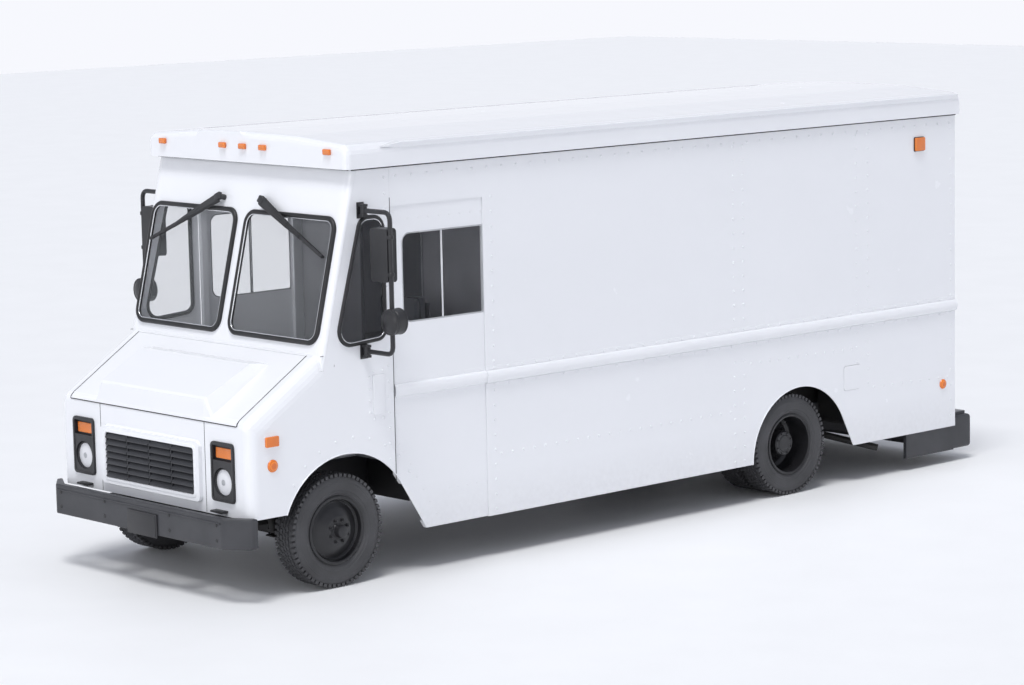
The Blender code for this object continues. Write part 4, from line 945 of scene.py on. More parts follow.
def make_headlamps():
    """A bezel lip, the amber lamp and the round sealed beam in each headlamp box."""
    face = NOSE_Y - 0.012
    floor = NOSE_Y + 0.012
    outer = rounded(rectangle((0.677, 0.667), (0.923, 1.068)), 0.030, 8)
    inner = rounded(rectangle((0.695, 0.685), (0.905, 1.050)), 0.022, 8)
    pair("headlamp_bezel", slab("Y", [outer, inner], face - 0.004, face + 0.002, 0.002), BODY, PLASTIC,
         "black_plastic")
    amber = slab("Y", [rounded(rectangle((0.716, 0.958), (0.884, 1.030)), 0.008)], floor - 0.010,
                 floor + 0.004, 0.003)
    pair("turn_lamp", amber, BODY, AMBER)
    ring = turned([(0.087, 0.0), (0.098, 0.0), (0.098, 0.010), (0.094, 0.013), (0.087, 0.009)], 48)
    pair("headlamp_ring", aim(ring, HEADLAMP, (0, -1, 0)), BODY, PLASTIC, "black_plastic")
    profile = [(0, 0.016), (0.018, 0.0158), (0.040, 0.0145), (0.065, 0.011), (0.087, 0.004),
               (0.087, 0.0), (0, 0.0)]
    beam = aim(turned(profile, 48, False), HEADLAMP, (0, -1, 0))
    pair("headlamp_lens", beam, BODY, FROST)
    eye = aim(turned([(0, 0.0195), (0.014, 0.0185), (0.021, 0.0155), (0.021, 0.010), (0, 0.010)], 28,
                     False),
              HEADLAMP, (0, -1, 0))
    pair("headlamp_bulb", eye, BODY, DULL, "black_plastic")


def louvre_section(low_z, pitch):
    """One louvre's (y, z) section: it leans out towards its lower lip."""
    back = NOSE_Y - 0.006
    front = NOSE_Y - 0.036
    return [
        (back, low_z + pitch + 0.002),
        (back - 0.006, low_z + pitch + 0.002),
        (front, low_z + 0.012),
        (front, low_z + 0.005),
        (front + 0.006, low_z + 0.005),
        (back, low_z + pitch - 0.006),
    ]


def make_grille():
    """Seven rows of leaning louvres in four bays, before a dark backing plate."""
    rows = 7
    bays = 4
    low = 0.683
    pitch = 0.318 / rows
    wide = 1.016 / bays
    slats = []
    for row in range(rows):
        for bay in range(bays):
            left = -0.508 + bay * wide + 0.004
            section = louvre_section(low + row * pitch, pitch)
            slats.append(slab("X", [section], left, left + wide - 0.008))
    plate = block((-0.511, NOSE_Y - 0.004, 0.683), (0.511, NOSE_Y - 0.001, 1.002), 0.001)
    slats.append(plate)
    for bay in range(1, bays):
        x = -0.508 + bay * wide
        slats.append(block((x - 0.003, NOSE_Y - 0.030, 0.684), (x + 0.003, NOSE_Y - 0.003, 1.001), 0.001))
    grille = piece("grille_louvres", merged(slats), BODY, GRILLE_PAINT, angle=25)
    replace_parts(grille, "grille")


def make_grille_surround():
    """The white frame round the grille, with sloping outer sides."""
    shape = bmesh.new()
    rings = []
    for grow, y in ((0.052, -0.0006), (0.016, -0.033), (-0.002, -0.035), (-0.006, -0.028)):
        outline = rounded(rectangle((-0.512 - grow, 0.679 - grow), (0.512 + grow, 1.006 + grow)),
                          0.024 + grow * 0.5, 6)
        rings.append([shape.verts.new((x, NOSE_Y + y, z)) for x, z in outline])
    for low, high in zip(rings, rings[1:]):
        for index in range(len(low)):
            nxt = (index + 1) % len(low)
            shape.faces.new((low[index], low[nxt], high[nxt], high[index]))
    bmesh.ops.recalc_face_normals(shape, faces=shape.faces)
    piece("grille_surround", mesh_of(shape), BODY, PAINT, angle=30)


def make_front_bumper_trim():
    swell = tube([(-0.945, BUMPER_Y - 0.001, 0.560), (0.945, BUMPER_Y - 0.001, 0.560)], 0.006)
    piece("front_bumper_bead", swell, BODY, BUMPER)
    plate = block((-0.095, BUMPER_Y - 0.012, 0.366), (0.245, BUMPER_Y - 0.002, 0.531), 0.004)
    hollow = block((-0.083, BUMPER_Y - 0.015, 0.378), (0.233, BUMPER_Y - 0.0115, 0.519), 0.0015)
    piece("plate_bracket", merged([plate, hollow]), BODY, PLASTIC)
    bolts = []
    for x in (-0.90, -0.375, 0.375, 0.90):
        for z in (0.44, 0.545):
            bolts.append(bolt_head(0.015, 0.010, 0.007, 16, (x, BUMPER_Y + 0.0005, z), (0, -1, 0)))
    piece("front_bumper_bolts", merged(bolts), BODY, PLASTIC)
    rest = block((0.71, NOSE_Y - 0.060, 0.5955), (0.84, NOSE_Y - 0.001, 0.612), 0.007)
    pair("bumper_rest", rest, BODY, GASKET_AND_GAP_SHADE)


def make_wiper_details():
    """Covers over the wiper arms' spring links, and the rubber blades in their carriers."""
    arms = ("left_wiper_arm", "right_wiper_arm")
    knuckle = block((-0.030, -0.026, 0.0), (0.030, 0.026, 0.034), 0.008, 3)
    place = screen_point(0.245, 2.578, 0.030)
    normal = Vector((0, -1, LEAN)).normalized()
    along = (screen_point(0.70, 2.362, 0.0) - screen_point(0.229, 2.58, 0.0)).normalized()
    across = normal.cross(along)
    turn = Matrix((along, across, normal)).transposed().to_4x4()
    knuckle.transform(Matrix.Translation(place) @ turn)
    cover = tapered_bar(screen_point(0.235, 2.577, 0.050), screen_point(0.56, 2.428, 0.046), normal,
                        0.080, 0.050, 0.018)
    link = tapered_bar(screen_point(0.55, 2.433, 0.046), screen_point(0.72, 2.353, 0.034), normal,
                       0.048, 0.034, 0.010)
    start = screen_point(0.42, 2.485, 0.034)
    end = screen_point(0.975, 2.245, 0.034)
    carrier = tapered_bar(start, end, normal, 0.040, 0.030, 0.012)
    rubber = tapered_bar(start - normal * 0.016, end - normal * 0.016, normal, 0.009, 0.009, 0.014)
    claws = []
    for share in (0.08, 0.3, 0.5, 0.7, 0.92):
        spot = start.lerp(end, share)
        step = (end - start).normalized() * 0.012
        claws.append(tapered_bar(spot - step, spot + step, normal, 0.026, 0.026, 0.016))
    pair("wiper_linkage", merged([knuckle, cover, link, carrier, rubber, *claws]), arms, PLASTIC)


def tapered_bar(start, end, normal, wide, narrow, thick):
    """A flat bar from start to end whose width changes, its broad face square to the normal."""
    along = (end - start).normalized()
    across = normal.cross(along).normalized()
    shape = bmesh.new()
    ends = []
    for point, width in ((start, wide), (end, narrow)):
        half = width / 2
        corners = [(-half, -thick / 2), (half, -thick / 2), (half * 0.7, thick / 2),
                   (-half * 0.7, thick / 2)]
        ends.append([shape.verts.new(point + across * u + normal * v) for u, v in corners])
    for index in range(4):
        nxt = (index + 1) % 4
        shape.faces.new((ends[0][index], ends[0][nxt], ends[1][nxt], ends[1][index]))
    shape.faces.new(ends[0])
    shape.faces.new(list(reversed(ends[1])))
    bmesh.ops.recalc_face_normals(shape, faces=shape.faces)
    bmesh.ops.bevel(shape, geom=shape.edges, offset=min(thick, narrow) * 0.15, segments=2, affect="EDGES")
    return mesh_of(shape)


def make_mirror_details():
    """Glass, rims and clamps on the mirror arms."""
    arms = ("left_mirror_arm", "right_mirror_arm")
    back = MIRROR_Y + 0.055
    outer = rounded(rectangle((1.203, 2.083), (1.387, 2.447)), 0.026)
    inner = rounded(rectangle((1.215, 2.095), (1.375, 2.435)), 0.018)
    pair("mirror_rim", slab("Y", [outer, inner], back - 0.004, back + 0.006, 0.002), arms, PLASTIC)
    pane = rounded(rectangle((1.214, 2.094), (1.376, 2.436)), 0.018)
    pair("mirror_glass", slab("Y", [pane], back - 0.001, back + 0.002, 0.0005), arms, MIRROR)
    middle = (ROUND_MIRROR_X, MIRROR_Y - 0.038, ROUND_MIRROR_Z)
    shell = [(0, 0.020), (0.045, 0.016), (0.075, 0.004), (0.086, -0.012), (0.090, -0.020), (0, -0.020)]
    pair("round_mirror_back", aim(turned(shell, 40, False), middle, (0, -1, 0)), arms, PLASTIC)
    middle = (ROUND_MIRROR_X, MIRROR_Y + 0.0455, ROUND_MIRROR_Z)
    convex = [(0, 0.014), (0.040, 0.011), (0.070, 0.004), (0.080, 0.0), (0, 0.0)]
    pair("round_mirror_glass", aim(turned(convex, 40, False), middle, (0, 1, 0)), arms, MIRROR)
    rim = [(0.079, -0.004), (0.090, -0.004), (0.090, 0.005), (0.084, 0.008), (0.079, 0.004)]
    pair("round_mirror_rim", aim(turned(rim, 40), middle, (0, 1, 0)), arms, PLASTIC)
    clamps = []
    for z in (2.39, 2.14, 1.86, 1.79):
        low, high = (MIRROR_OUT_X, MIRROR_Y, z - 0.014), (MIRROR_OUT_X, MIRROR_Y, z + 0.014)
        clamps.append(rod(low, high, 0.023, 24))
    for z in (2.36, 2.11):
        clamps.append(block((1.375, MIRROR_Y - 0.012, z), (1.402, MIRROR_Y + 0.012, z + 0.06), 0.004))
    pair("mirror_clamps", merged(clamps), arms, PLASTIC)
    feet = []
    for z in (MIRROR_TOP_Z, MIRROR_LOW_Z):
        feet.append(block((SIDE_X + 0.0004, MIRROR_Y - 0.032, z - 0.055),
                          (SIDE_X + 0.005, MIRROR_Y + 0.032, z + 0.055), 0.002))
        feet.append(rod((MIRROR_X, MIRROR_Y, z - 0.047), (MIRROR_X, MIRROR_Y, z + 0.047), 0.0075, 16))
        for ear in (z - 0.0432, z + 0.0268):
            cover_low = (SIDE_X + 0.0004, MIRROR_Y - 0.0215, ear)
            feet.append(block(cover_low, (MIRROR_X + 0.0195, MIRROR_Y + 0.0215, ear + 0.0164), 0.0008, 1))
        for v in (-0.036, 0.036):
            place = (SIDE_X + 0.005, MIRROR_Y + 0.020, z + v * 1.15)
            feet.append(bolt_head(0.009, 0.006, 0.006, 12, place, (1, 0, 0)))
    pair("mirror_feet", merged(feet), BODY, PLASTIC)


# Wheels -------------------------------------------------------------------------------------------


def tyre_mesh():
    """A tyre about Z, its outer sidewall up: ribbed walls, grooved tread and shoulder lugs."""
    wall = [
        (0.372, 0.080), (0.366, 0.092), (0.350, 0.0995), (0.340, 0.1015), (0.334, 0.1020), (0.332, 0.1035),
        (0.328, 0.1035), (0.326, 0.1025), (0.305, 0.1045), (0.285, 0.1030), (0.281, 0.1042),
        (0.276, 0.1040),
        (0.274, 0.1015), (0.262, 0.0975), (0.256, 0.0965), (0.253, 0.0925), (0.240, 0.0860),
        (0.2375, 0.0835),
        (0.2235, 0.080),
    ]
    crown = []
    for low, high in ((-0.080, -0.049), (-0.043, -0.017), (-0.011, 0.011), (0.017, 0.043), (0.049, 0.080)):
        crown += [(0.3785, low), (0.3865, low + 0.001), (0.3865, high - 0.001), (0.3785, high)]
    lower = [(radius, -height) for radius, height in wall]
    lining = [(0.2235, 0.060), (0.300, 0.090), (0.366, 0.070), (0.366, -0.070), (0.300, -0.090),
              (0.2235, -0.060)]
    profile = crown + wall + lining + list(reversed(lower))
    parts = [turned(profile, 96)]
    parts.append(ring_of_lugs(60, 0.0, ((0.366, 0.056), (0.3915, 0.0985)), 0.026))
    parts.append(ring_of_lugs(60, 0.5, ((0.366, -0.0985), (0.3915, -0.056)), 0.026))
    parts.append(ring_of_lugs(58, 0.0, ((0.372, 0.0175), (0.3912, 0.0425)), 0.030, 20))
    parts.append(ring_of_lugs(58, 0.5, ((0.372, -0.0425), (0.3912, -0.0175)), 0.030, -20))
    parts.append(ring_of_lugs(58, 0.25, ((0.372, -0.0105), (0.3912, 0.0105)), 0.032, 20))
    return merged(parts)


def ring_of_lugs(count, phase, section, length, lean=0):
    """Tread blocks round the tyre; section is the (radius, height) box of one, lean its turn."""
    (low_r, low_h), (high_r, high_h) = section
    lug = block((low_r, -length / 2, low_h), (high_r, length / 2, high_h), 0.003, 1)
    middle = (low_h + high_h) / 2
    slant = Matrix.Translation((0, 0, middle)) @ Matrix.Rotation(math.radians(lean), 4, "X")
    lug.transform(slant @ Matrix.Translation((0, 0, -middle)))
    shape = bmesh.new()
    for index in range(count):
        copy = lug.copy()
        copy.transform(Matrix.Rotation(2 * math.pi * (index + phase) / count, 4, "Z"))
        shape.from_mesh(copy)
        bpy.data.meshes.remove(copy)
    bpy.data.meshes.remove(lug)
    return mesh_of(shape)


def nut_ring(count, radius, height, size, tall):
    """Hexagon nuts with their studs, in a ring about Z."""
    nuts = []
    for index in range(count):
        angle = 2 * math.pi * (index + 0.5) / count
        place = Vector((radius * math.cos(angle), radius * math.sin(angle), height))
        nuts.append(rod(place, place + Vector((0, 0, tall)), size, 6, 0.12))
        nuts.append(rod(place, place + Vector((0, 0, tall * 1.5)), size * 0.5, 12))
    return nuts


def front_wheel_mesh():
    """The steel wheel about Z: rolled rim, domed disc, hub with its nuts and a grease cap."""
    half = 0.0909
    profile = [
        (0, 0.166), (0.030, 0.165), (0.042, 0.158), (0.046, 0.146), (0.047, 0.118), (0.054, 0.116),
        (0.056, 0.112),
        (0.098, 0.110), (0.108, 0.104), (0.130, 0.090), (0.160, 0.069), (0.184, 0.054), (0.192, 0.052),
        (0.196, 0.056), (0.201, 0.060), (0.206, 0.056), (0.210, 0.058), (0.212, 0.076),
        (0.2145, half - 0.003),
        (0.221, half + 0.001), (0.230, half + 0.002), (0.237, half - 0.001), (0.2375, half - 0.007),
        (0.222, half - 0.010),
        (0.222, -half + 0.010), (0.237, -half + 0.008), (0.237, -half), (0.214, -half), (0.214, 0.014),
        (0.185, 0.034),
        (0.105, 0.084), (0.074, 0.092), (0.070, -0.030), (0, -0.030),
    ]
    return merged([turned(profile, 96, False), *nut_ring(8, 0.079, 0.108, 0.0125, 0.016)])


def rear_wheel_mesh():
    """Both wheels of a dual pair about Z, bolted face to face on the hub."""
    half = 0.0909
    spread = 0.124
    outer = [
        (0.0, 0.166), (0.060, 0.164), (0.066, 0.160), (0.088, 0.160), (0.096, 0.152), (0.100, 0.100),
        (0.104, 0.040),
        (0.120, 0.036), (0.150, 0.018), (0.180, 0.014), (0.205, 0.030), (0.212, 0.060),
        (0.2125, spread + half - 0.030),
        (0.216, spread + half - 0.003), (0.222, spread + half + 0.001), (0.230, spread + half + 0.002),
        (0.237, spread + half - 0.001), (0.2375, spread + half - 0.007), (0.222, spread + half - 0.010),
        (0.222, spread - half + 0.010), (0.237, spread - half + 0.008), (0.237, spread - half),
        (0.214, spread - half),
        (0.195, 0.008), (0.150, 0.002),
    ]
    inner = [(radius, -height) for radius, height in reversed(outer[7:-1])]
    hub = [(0.105, -0.030), (0.100, -0.070), (0.0, -0.070)]
    return merged([turned(outer + inner + hub, 96, False), *nut_ring(10, 0.132, 0.024, 0.012, 0.018),
                   *nut_ring(8, 0.078, 0.158, 0.007, 0.007)])


def set_wheel(name, mesh, x, y, body, look, node):
    """Turns a wheel or tyre to face outwards, puts it on its axle and hides what it replaces."""
    side = 1 if x > 0 else -1
    mesh.transform(Matrix.Rotation(math.radians(90 * side), 4, "Y"))
    mesh.transform(Matrix.Translation((x, y, AXLE_Z)))
    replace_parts(piece(name, mesh, body, look, angle=30), node)


def make_wheels():
    tyre = tyre_mesh()
    front = front_wheel_mesh()
    rear = rear_wheel_mesh()
    for name, side in SIDES:
        body = f"front_{name}_road_wheel"
        x = side * TRACK_X
        wheel = f"front_{name}_wheel"
        set_wheel(f"{wheel}_detail", front.copy(), x, FRONT_AXLE_Y, body, RIM, wheel)
        node = f"front_{name}_tyre"
        set_wheel(f"{node}_detail", tyre.copy(), x, FRONT_AXLE_Y, body, TYRE, node)
        body = f"rear_{name}_road_wheel"
        middle = side * (TRACK_X + DUAL_INNER_X) / 2
        wheel = f"rear_{name}_wheels"
        set_wheel(f"{wheel}_detail", rear.copy(), middle, REAR_AXLE_Y, body, RIM, wheel)
        for place, x in (("outer", TRACK_X), ("inner", DUAL_INNER_X)):
            node = f"rear_{name}_{place}_tyre"
            set_wheel(f"{node}_detail", tyre.copy(), side * x, REAR_AXLE_Y, body, TYRE, node)


# Rear end -----------------------------------------------------------------------------------------


def make_rear_doors():
    """Hinges, window seals, a dark cord as painted shade in the doors' middle gap, the lock rod and the
    grab handle.
    """
    face = BACK_Y + 0.004
    hinges = []
    for z in HINGE_HEIGHTS:
        hinges.append(block((0.700, face + 0.0004, z - 0.030), (0.792, face + 0.007, z + 0.030), 0.003))
        hinges.append(rod((0.8035, BACK_Y + 0.010, z - 0.045), (0.8035, BACK_Y + 0.010, z + 0.045),
                          0.0085, 16))
        for x in (0.722, 0.758):
            for v in (-0.015, 0.015):
                hinges.append(bolt_head(0.007, 0.005, 0.004, 12, (x, face + 0.007, z + v), (0, 1, 0)))
    pair("rear_door_hinges", merged(hinges), CARGO_DOORS, DULL)
    leaves = []
    for z in HINGE_HEIGHTS:
        leaves.append(block((0.815, BACK_Y + 0.0004, z - 0.030), (0.880, BACK_Y + 0.006, z + 0.030), 0.002))
    pair("rear_hinge_leaves", merged(leaves), BODY, DULL)
    edge = rounded(rectangle((0.168, 1.708), (0.632, 2.352)), 0.068, 8)
    glass = rounded(rectangle((0.186, 1.726), (0.614, 2.334)), 0.056, 8)
    pair("rear_window_seal", slab("Y", [edge, glass], face - 0.002, face + 0.008, 0.003), CARGO_DOORS,
         GASKET_AND_GAP_SHADE)
    # Painted shade: a dark cord stands for the shadow in the gap between the two doors.
    cords = [tube([(0.0, BACK_Y + 0.001, 0.775), (0.0, BACK_Y + 0.001, 2.596)], 0.0045)]
    piece("rear_door_gap_shadow", merged(cords), "left_cargo_door", GASKET_AND_GAP_SHADE)
    rods = [rod((0.060, face + 0.018, 0.83), (0.060, face + 0.018, 2.55), 0.009, 16)]
    for z in (0.90, 1.30, 1.62, 2.45):
        rods.append(block((0.040, face + 0.0004, z - 0.016), (0.080, face + 0.029, z + 0.016), 0.004))
    rods.append(block((0.050, face + 0.012, 1.185), (0.150, face + 0.040, 1.215), 0.008))
    rods.append(block((0.135, face + 0.0004, 1.180), (0.160, face + 0.030, 1.220), 0.004))
    piece("rear_lock_rod", merged(rods), "left_cargo_door", DULL)
    pull = tube([(-0.075, face + 0.002, 1.08), (-0.075, face + 0.045, 1.08), (-0.075, face + 0.045, 1.32),
                 (-0.075, face + 0.002, 1.32)], 0.010, 0.02)
    piece("rear_grab_handle", pull, "right_cargo_door", DULL)


def make_rear_body():
    """Lamps, corner rivets and the step's tread plate."""
    lamps = (("stop_lamp", 0.945, 1.02, RED), ("rear_turn_lamp", 0.945, 1.16, AMBER),
             ("backing_lamp", 0.945, 0.88, FROST))
    for name, x, z, look in lamps:
        housing = aim(turned([(0, 0.012), (0.056, 0.012), (0.060, 0.008), (0.062, 0.0), (0, 0.0)], 40,
                             False),
                      (x, BACK_Y + 0.0004, z), (0, 1, 0))
        pair(f"{name}_housing", housing, BODY, GASKET_AND_GAP_SHADE)
        glow = aim(turned([(0, 0.016), (0.028, 0.014), (0.044, 0.008), (0.050, 0.0), (0, 0.0)], 40, False),
                   (x, BACK_Y + 0.0115, z), (0, 1, 0))
        pair(name, glow, BODY, look, "black_plastic")
    places = []
    for z in run(0.80, 2.70, 0.12):
        if min(abs(z - hinge) for hinge in HINGE_HEIGHTS) >= 0.04:
            places.append((0.905, BACK_Y, z))
        places.append((1.045, BACK_Y, z))
    pair("rear_rivets", rivet_mesh(places, (0, 1, 0)), BODY, PAINT)
    step = block((-1.02, station(6.445), 0.3902), (1.02, station(6.655), 0.3935), 0.001)
    piece("rear_step_plate", step, BODY, DECK)


# Chassis ------------------------------------------------------------------------------------------


def make_axle_details():
    """Spring clips, U-bolts, dampers and brake backplates that travel with the axles."""
    for body, y, x, seat, reach in (
        ("front_suspension", FRONT_AXLE_Y, 0.40, 0.365, 0.56),
        ("rear_suspension", REAR_AXLE_Y, 0.44, 0.405, 0.68),
    ):
        parts = []
        for offset in (-0.055, 0.055):
            for edge in (-0.036, 0.036):
                parts.append(rod((x + edge, y + offset, seat - 0.09),
                                 (x + edge, y + offset, seat + 0.062), 0.006, 12))
            parts.append(block((x - 0.043, y + offset - 0.009, seat + 0.046),
                               (x + 0.043, y + offset + 0.009, seat + 0.058), 0.003))
        parts.append(block((x - 0.045, y - 0.08, seat - 0.092), (x + 0.045, y + 0.08, seat - 0.080), 0.003))
        for share in (-0.55, 0.55):
            parts.append(block((x - 0.036, y + reach * share - 0.012, seat + 0.016),
                               (x + 0.036, y + reach * share + 0.012, seat + 0.052), 0.003))
        parts.append(rod((x + 0.085, y - 0.11, seat - 0.02), (x + 0.085, y - 0.15, seat + 0.15), 0.026, 20))
        parts.append(block((x + 0.03, y - 0.125, seat - 0.045), (x + 0.11, y - 0.065, seat - 0.02), 0.004))
        pair(f"{body}_clips", merged(parts), body, CHASSIS)
    plate = aim(turned([(0.062, 0.0), (0.185, 0.0), (0.195, 0.010), (0.195, 0.030), (0.062, 0.030)], 48),
                (0.862, FRONT_AXLE_Y, AXLE_Z), (1, 0, 0))
    pair("front_brake_plate", plate, ("left_steering", "right_steering"), CHASSIS)
    tie = rod((-0.62, FRONT_AXLE_Y + 0.14, 0.34), (0.62, FRONT_AXLE_Y + 0.14, 0.34), 0.016, 16)
    piece("tie_rod", tie, "front_suspension", CHASSIS)
    joints = [rod((0, REAR_AXLE_Y - 0.30, SHAFT_Z), (0, REAR_AXLE_Y - 0.27, SHAFT_Z), 0.062, 24)]
    for angle in range(0, 360, 60):
        turn = math.radians(angle)
        spot = Vector((0.048 * math.cos(turn), 0, SHAFT_Z + 0.048 * math.sin(turn)))
        joints.append(rod(spot + Vector((0, REAR_AXLE_Y - 0.312, 0)),
                          spot + Vector((0, REAR_AXLE_Y - 0.262, 0)), 0.007, 8))
    piece("shaft_flange", merged(joints), "propeller_shaft", CHASSIS)


def make_chassis_details():
    bolts = []
    for offset in (-0.62, -0.35, 0.4, 0.85, 1.5, 2.25, 2.95, 3.75, 5.35, 6.1):
        for z in (0.585, 0.675):
            bolts.append(bolt_head(0.013, 0.009, 0.008, 12, (0.4352, station(offset), z), (1, 0, 0)))
    pair("frame_bolts", merged(bolts), BODY, CHASSIS)
    line = tube([(0.452, station(0.3), 0.70), (0.452, station(3.4), 0.70), (0.452, station(3.9), 0.66),
                 (0.452, station(4.2), 0.60)], 0.006, 0.06)
    piece("brake_line", line, BODY, CHASSIS)
    clamps = []
    for offset in (0.9, 2.15, 3.05, 3.6):
        y = station(offset)
        clamps.append(aim(turned([(0.029, -0.012), (0.036, -0.012), (0.036, 0.012), (0.029, 0.012)],
                                 28), (-0.24, y, 0.47), (0, 1, 0)))
        clamps.append(rod((-0.24, y, 0.50), (-0.24, y, 0.60), 0.006, 10))
    piece("exhaust_clamps", merged(clamps), BODY, CHASSIS)
    filler = tube([(0.93, station(5.55), 0.62), (0.99, station(5.50), 0.66),
                   (1.02, station(5.30), 0.74), (1.055, FUEL_CAP_Y, 0.84)], 0.027, 0.06)
    piece("fuel_filler_pipe", filler, BODY, GASKET_AND_GAP_SHADE)
    cap = aim(turned([(0, 0.016), (0.030, 0.016), (0.034, 0.012), (0.036, 0.0), (0, 0.0)], 32, False),
              (1.058, FUEL_CAP_Y, 0.84), (1, 0, 0))
    piece("fuel_cap", cap, BODY, PLASTIC, "black_plastic")
    liner = [block((0.62, station(-0.515), 0.60), (1.06, station(-0.500), 0.93), 0.003)]
    liner.append(block((0.583, station(-0.42), 0.50), (0.588, station(0.650), 0.779), 0.002))
    liner.append(block((0.583, station(0.651), 0.50), (1.035, station(0.6592), 0.779), 0.003))
    pair("front_wheelhouse_liner", merged(liner), BODY, GASKET_AND_GAP_SHADE, "chassis_steel")


# Cab ----------------------------------------------------------------------------------------------


def make_steering_wheel():
    """A thin hand wheel on its column, with finger grips under the rim."""
    hub = Vector((0.48, station(0.50), 1.46))
    foot = Vector((0.48, station(-0.05), 0.90))
    direction = (hub - foot).normalized()
    parts = []
    rim = []
    for step in range(16):
        angle = 2 * math.pi * step / 16
        rim.append((0.215 + 0.0135 * math.cos(angle), 0.0135 * math.sin(angle)))
    parts.append(turned(rim, 72))
    for index in range(28):
        angle = 2 * math.pi * index / 28
        spot = Vector((0.215 * math.cos(angle), 0.215 * math.sin(angle), -0.006))
        swell = bmesh.new()
        bmesh.ops.create_uvsphere(swell, u_segments=10, v_segments=6, radius=0.0145)
        bmesh.ops.translate(swell, vec=spot, verts=swell.verts)
        parts.append(mesh_of(swell))
    boss = [(0, 0.016), (0.030, 0.015), (0.040, 0.008), (0.046, -0.004), (0.046, -0.026),
            (0.030, -0.030), (0, -0.030)]
    parts.append(turned(boss, 40, False))
    for angle in (90, 210, 330):
        spoke = block((0.030, -0.014, -0.010), (0.212, 0.014, 0.002), 0.004)
        spoke.transform(Matrix.Rotation(math.radians(angle), 4, "Z"))
        parts.append(spoke)
    wheel = aim(merged(parts), hub, direction)
    obj = piece("steering_wheel_detail", wheel, "hand_wheel", PLASTIC, "black_plastic")
    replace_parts(obj, "steering_wheel")


def make_dash_details():
    """Gauges, knobs and vents on the dashboard."""
    face_y = DASH_Y + 0.288
    dials = []
    glasses = []
    for x, z, radius in ((0.40, 1.49, 0.052), (0.53, 1.49, 0.052), (0.625, 1.515, 0.028),
                         (0.625, 1.455, 0.028)):
        dials.append(aim(turned([(radius, 0.0), (radius + 0.006, 0.0), (radius + 0.006, 0.008),
                                 (radius, 0.010)], 36),
                         (x, face_y - (z - 1.40) * 0.33 + 0.006, z), (0, 1, 0.3)))
        glasses.append(aim(turned([(0, 0.003), (radius, 0.002), (radius, 0.0), (0, 0.0)], 36, False),
                           (x, face_y - (z - 1.40) * 0.33 + 0.007, z), (0, 1, 0.3)))
    piece("gauge_rims", merged(dials), BODY, BRIGHT, "black_plastic")
    piece("gauge_faces", merged(glasses), BODY, DARK_GREY)
    knobs = []
    for index in range(7):
        x = 0.10 - index * 0.075
        knobs.append(aim(turned([(0, 0.018), (0.011, 0.017), (0.014, 0.012), (0.014, 0.0), (0, 0.0)],
                                20, False),
                         (x, DASH_Y + 0.340, 1.33), (0, 1, 0.2)))
    piece("dash_knobs", merged(knobs), BODY, PLASTIC, "black_plastic")
    vents = []
    for x in (-0.80, -0.50, 0.85):
        for row in range(4):
            vents.append(block((x - 0.07, DASH_Y + 0.325, 1.375 + row * 0.014),
                               (x + 0.07, DASH_Y + 0.337, 1.382 + row * 0.014), 0.002))
    piece("dash_vents", merged(vents), BODY, PLASTIC, "black_plastic")


def make_cab_controls():
    """Pedals, the gear lever in its gaiter and the doors' grab rails."""
    pedals = []
    for x, wide, low in ((0.36, 0.075, 0.93), (0.50, 0.085, 0.93), (0.63, 0.055, 0.91)):
        pad = block((x - wide / 2, -0.012, 0.0), (x + wide / 2, 0.0, 0.085), 0.004)
        pad.transform(Matrix.Translation((0, station(0.12), low)) @ Matrix.Rotation(math.radians(-35),
                                                                                    4, "X"))
        pedals.append(pad)
        pedals.append(rod((x, station(0.12), low + 0.04), (x, station(-0.06), low + 0.16), 0.009, 12))
    piece("pedals", merged(pedals), BODY, PLASTIC)
    lever = tube([(0.0, GEAR_LEVER_Y, 1.13), (0.01, station(0.44), 1.32), (0.03, station(0.47), 1.43)],
                 0.009, 0.05)
    knob = bmesh.new()
    bmesh.ops.create_uvsphere(knob, u_segments=20, v_segments=14, radius=0.024)
    bmesh.ops.translate(knob, vec=(0.03, station(0.47), 1.445), verts=knob.verts)
    gaiter = aim(turned([(0, 0.06), (0.02, 0.06), (0.030, 0.045), (0.028, 0.035), (0.045, 0.02),
                         (0.060, 0.0), (0, 0.0)], 32, False),
                 (0.0, GEAR_LEVER_Y, 1.148), (0, 0, 1))
    piece("gear_lever", merged([lever, mesh_of(knob), gaiter]), BODY, PLASTIC)
    rail = tube([(1.012, station(0.60), 1.10), (0.985, station(0.60), 1.12),
                 (0.985, station(0.60), 1.60), (1.012, station(0.60), 1.62)], 0.012, 0.02)
    pair("door_grab_rail", rail, DOORS, DULL)


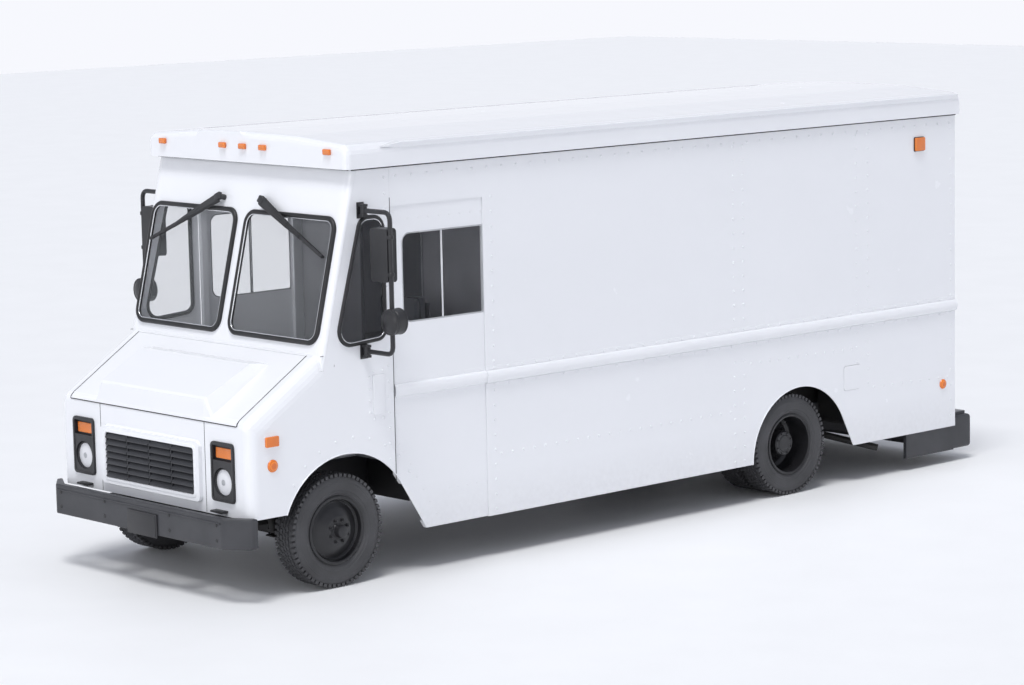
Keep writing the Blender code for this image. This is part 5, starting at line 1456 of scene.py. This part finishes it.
def make_cab_trim():
    """The bulkhead doorway's trim, visors, floor mat, step treads and the cargo floor's strips."""
    frame_low = [(-0.355, 0.825), (0.355, 0.825), (0.355, 2.615), (-0.355, 2.615)]
    inner = [(-0.341, 0.839), (0.341, 0.839), (0.341, 2.601), (-0.341, 2.601)]
    trim = slab("Y", [rounded(frame_low, 0.06), rounded(inner, 0.05)], BULKHEAD_Y - 0.010,
                BULKHEAD_Y - 0.0004, 0.002)
    piece("bulkhead_door_trim", trim, BODY, GREY)
    visors = []
    for side in (-1, 1):
        pad = block((-0.20, -0.008, -0.09), (0.20, 0.008, 0.09), 0.006)
        pad.transform(Matrix.Translation((side * 0.50, station(0.30),
                                          2.62)) @ Matrix.Rotation(math.radians(-18), 4, "X"))
        visors.append(pad)
    piece("sun_visors", merged(visors), BODY, GREY)
    mat_ribs = []
    for index in range(18):
        y = station(0.62 + index * 0.042)
        mat_ribs.append(block((-0.55, y, FLOOR_Z + 0.0004), (0.66, y + 0.014, FLOOR_Z + 0.0055), 0.002, 1))
    mat_ribs.append(block((-0.57, station(0.60), FLOOR_Z + 0.0002),
                          (0.68, station(1.38), FLOOR_Z + 0.003), 0.001))
    piece("cab_mat", merged(mat_ribs), BODY, GASKET_AND_GAP_SHADE, "interior_grey")
    treads = []
    for index in range(6):
        y = station(0.72 + index * 0.095)
        treads.append(block((0.73, y, 0.5104), (1.02, y + 0.02, 0.514), 0.001, 1))
    pair("step_treads", merged(treads), BODY, DECK)
    strips = []
    for index in range(11):
        x = -0.50 + index * 0.10
        strips.append(block((x - 0.012, station(1.50), FLOOR_Z + 0.0004),
                            (x + 0.012, station(6.36), FLOOR_Z + 0.0050), 0.0015, 1))
    piece("cargo_floor_strips", merged(strips), BODY, DULL, "interior_grey")


# Seat ---------------------------------------------------------------------------------------------


def soft_block(low, high, name):
    """A cushion blown up by a short cloth simulation, kept a little inside its CAD space."""
    room = Vector((PAD_ROOM, PAD_ROOM, PAD_ROOM * 0.6))
    low = Vector(low) + room
    high = Vector(high) - room
    mesh = block(low, high, 0.030, 3)
    obj = bpy.data.objects.new(name, mesh)
    bpy.context.scene.collection.objects.link(obj)
    even = obj.modifiers.new("even", "REMESH")
    even.mode = "VOXEL"
    even.voxel_size = PAD_VOXEL
    bpy.context.view_layer.update()
    graph = bpy.context.evaluated_depsgraph_get()
    fine = bpy.data.meshes.new_from_object(obj.evaluated_get(graph))
    obj.modifiers.clear()
    obj.data = fine
    cloth = obj.modifiers.new("cloth", "CLOTH")
    cloth.settings.quality = 5
    cloth.settings.mass = 0.4
    cloth.settings.tension_stiffness = 30
    cloth.settings.compression_stiffness = 30
    cloth.settings.bending_stiffness = 1.5
    cloth.settings.use_pressure = True
    cloth.settings.uniform_pressure_force = PAD_PRESSURE
    cloth.settings.effector_weights.gravity = 0.0
    cloth.collision_settings.use_self_collision = False
    cloth.point_cache.frame_start = 1
    cloth.point_cache.frame_end = PAD_FRAMES
    for moment in range(1, PAD_FRAMES + 1):
        bpy.context.scene.frame_set(moment)
    bpy.context.view_layer.update()
    graph = bpy.context.evaluated_depsgraph_get()
    swollen = bpy.data.meshes.new_from_object(obj.evaluated_get(graph))
    obj.modifiers.clear()
    for before, after in zip(fine.vertices, swollen.vertices):
        move = after.co - before.co
        if move.length > PAD_SWELL:
            after.co = before.co + move.normalized() * PAD_SWELL
    obj.data = swollen
    bpy.context.scene.frame_set(1)
    return obj


def make_seat():
    """Cushion and back with piped edges over their pan; the pipes follow the pads' corners."""
    for node in ("seat_cushion", "seat_back"):
        low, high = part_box(node)
        obj = soft_block(low, high, f"{node}_pad")
        obj.data.materials.clear()
        obj.data.materials.append(CLOTH)
        smooth(obj.data, 60)
        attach(obj, "seat_slider")
        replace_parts(obj, node)
        if node == "seat_cushion":
            z = high[2] - 0.024
            outline = rounded(rectangle((low[0] + 0.020, low[1] + 0.020),
                                        (high[0] - 0.020, high[1] - 0.020)), 0.035)
            route = [(x, y, z) for x, y in outline]
        else:
            y = low[1] + 0.022
            outline = rounded(rectangle((low[0] + 0.020, low[2] + 0.020),
                                        (high[0] - 0.020, high[2] - 0.020)), 0.035)
            route = [(x, y, z) for x, z in outline]
        piece(f"{node}_piping", tube(route, 0.0045, cyclic=True), "seat_slider", GASKET_AND_GAP_SHADE, "seat_vinyl")


make_camera()
make_floor()
make_light()
dress_cad_nodes()
make_seals()
make_door_window_trim()
make_rivets()
make_belt()
make_side_details()
make_drip_rails()
make_marker_lamps()
make_roof_lamps()
make_gap_shadows()
make_headlamps()
make_grille()
make_grille_surround()
make_front_bumper_trim()
make_wiper_details()
make_mirror_details()
make_wheels()
make_rear_doors()
make_rear_body()
make_axle_details()
make_chassis_details()
make_steering_wheel()
make_dash_details()
make_cab_controls()
make_cab_trim()
make_seat()
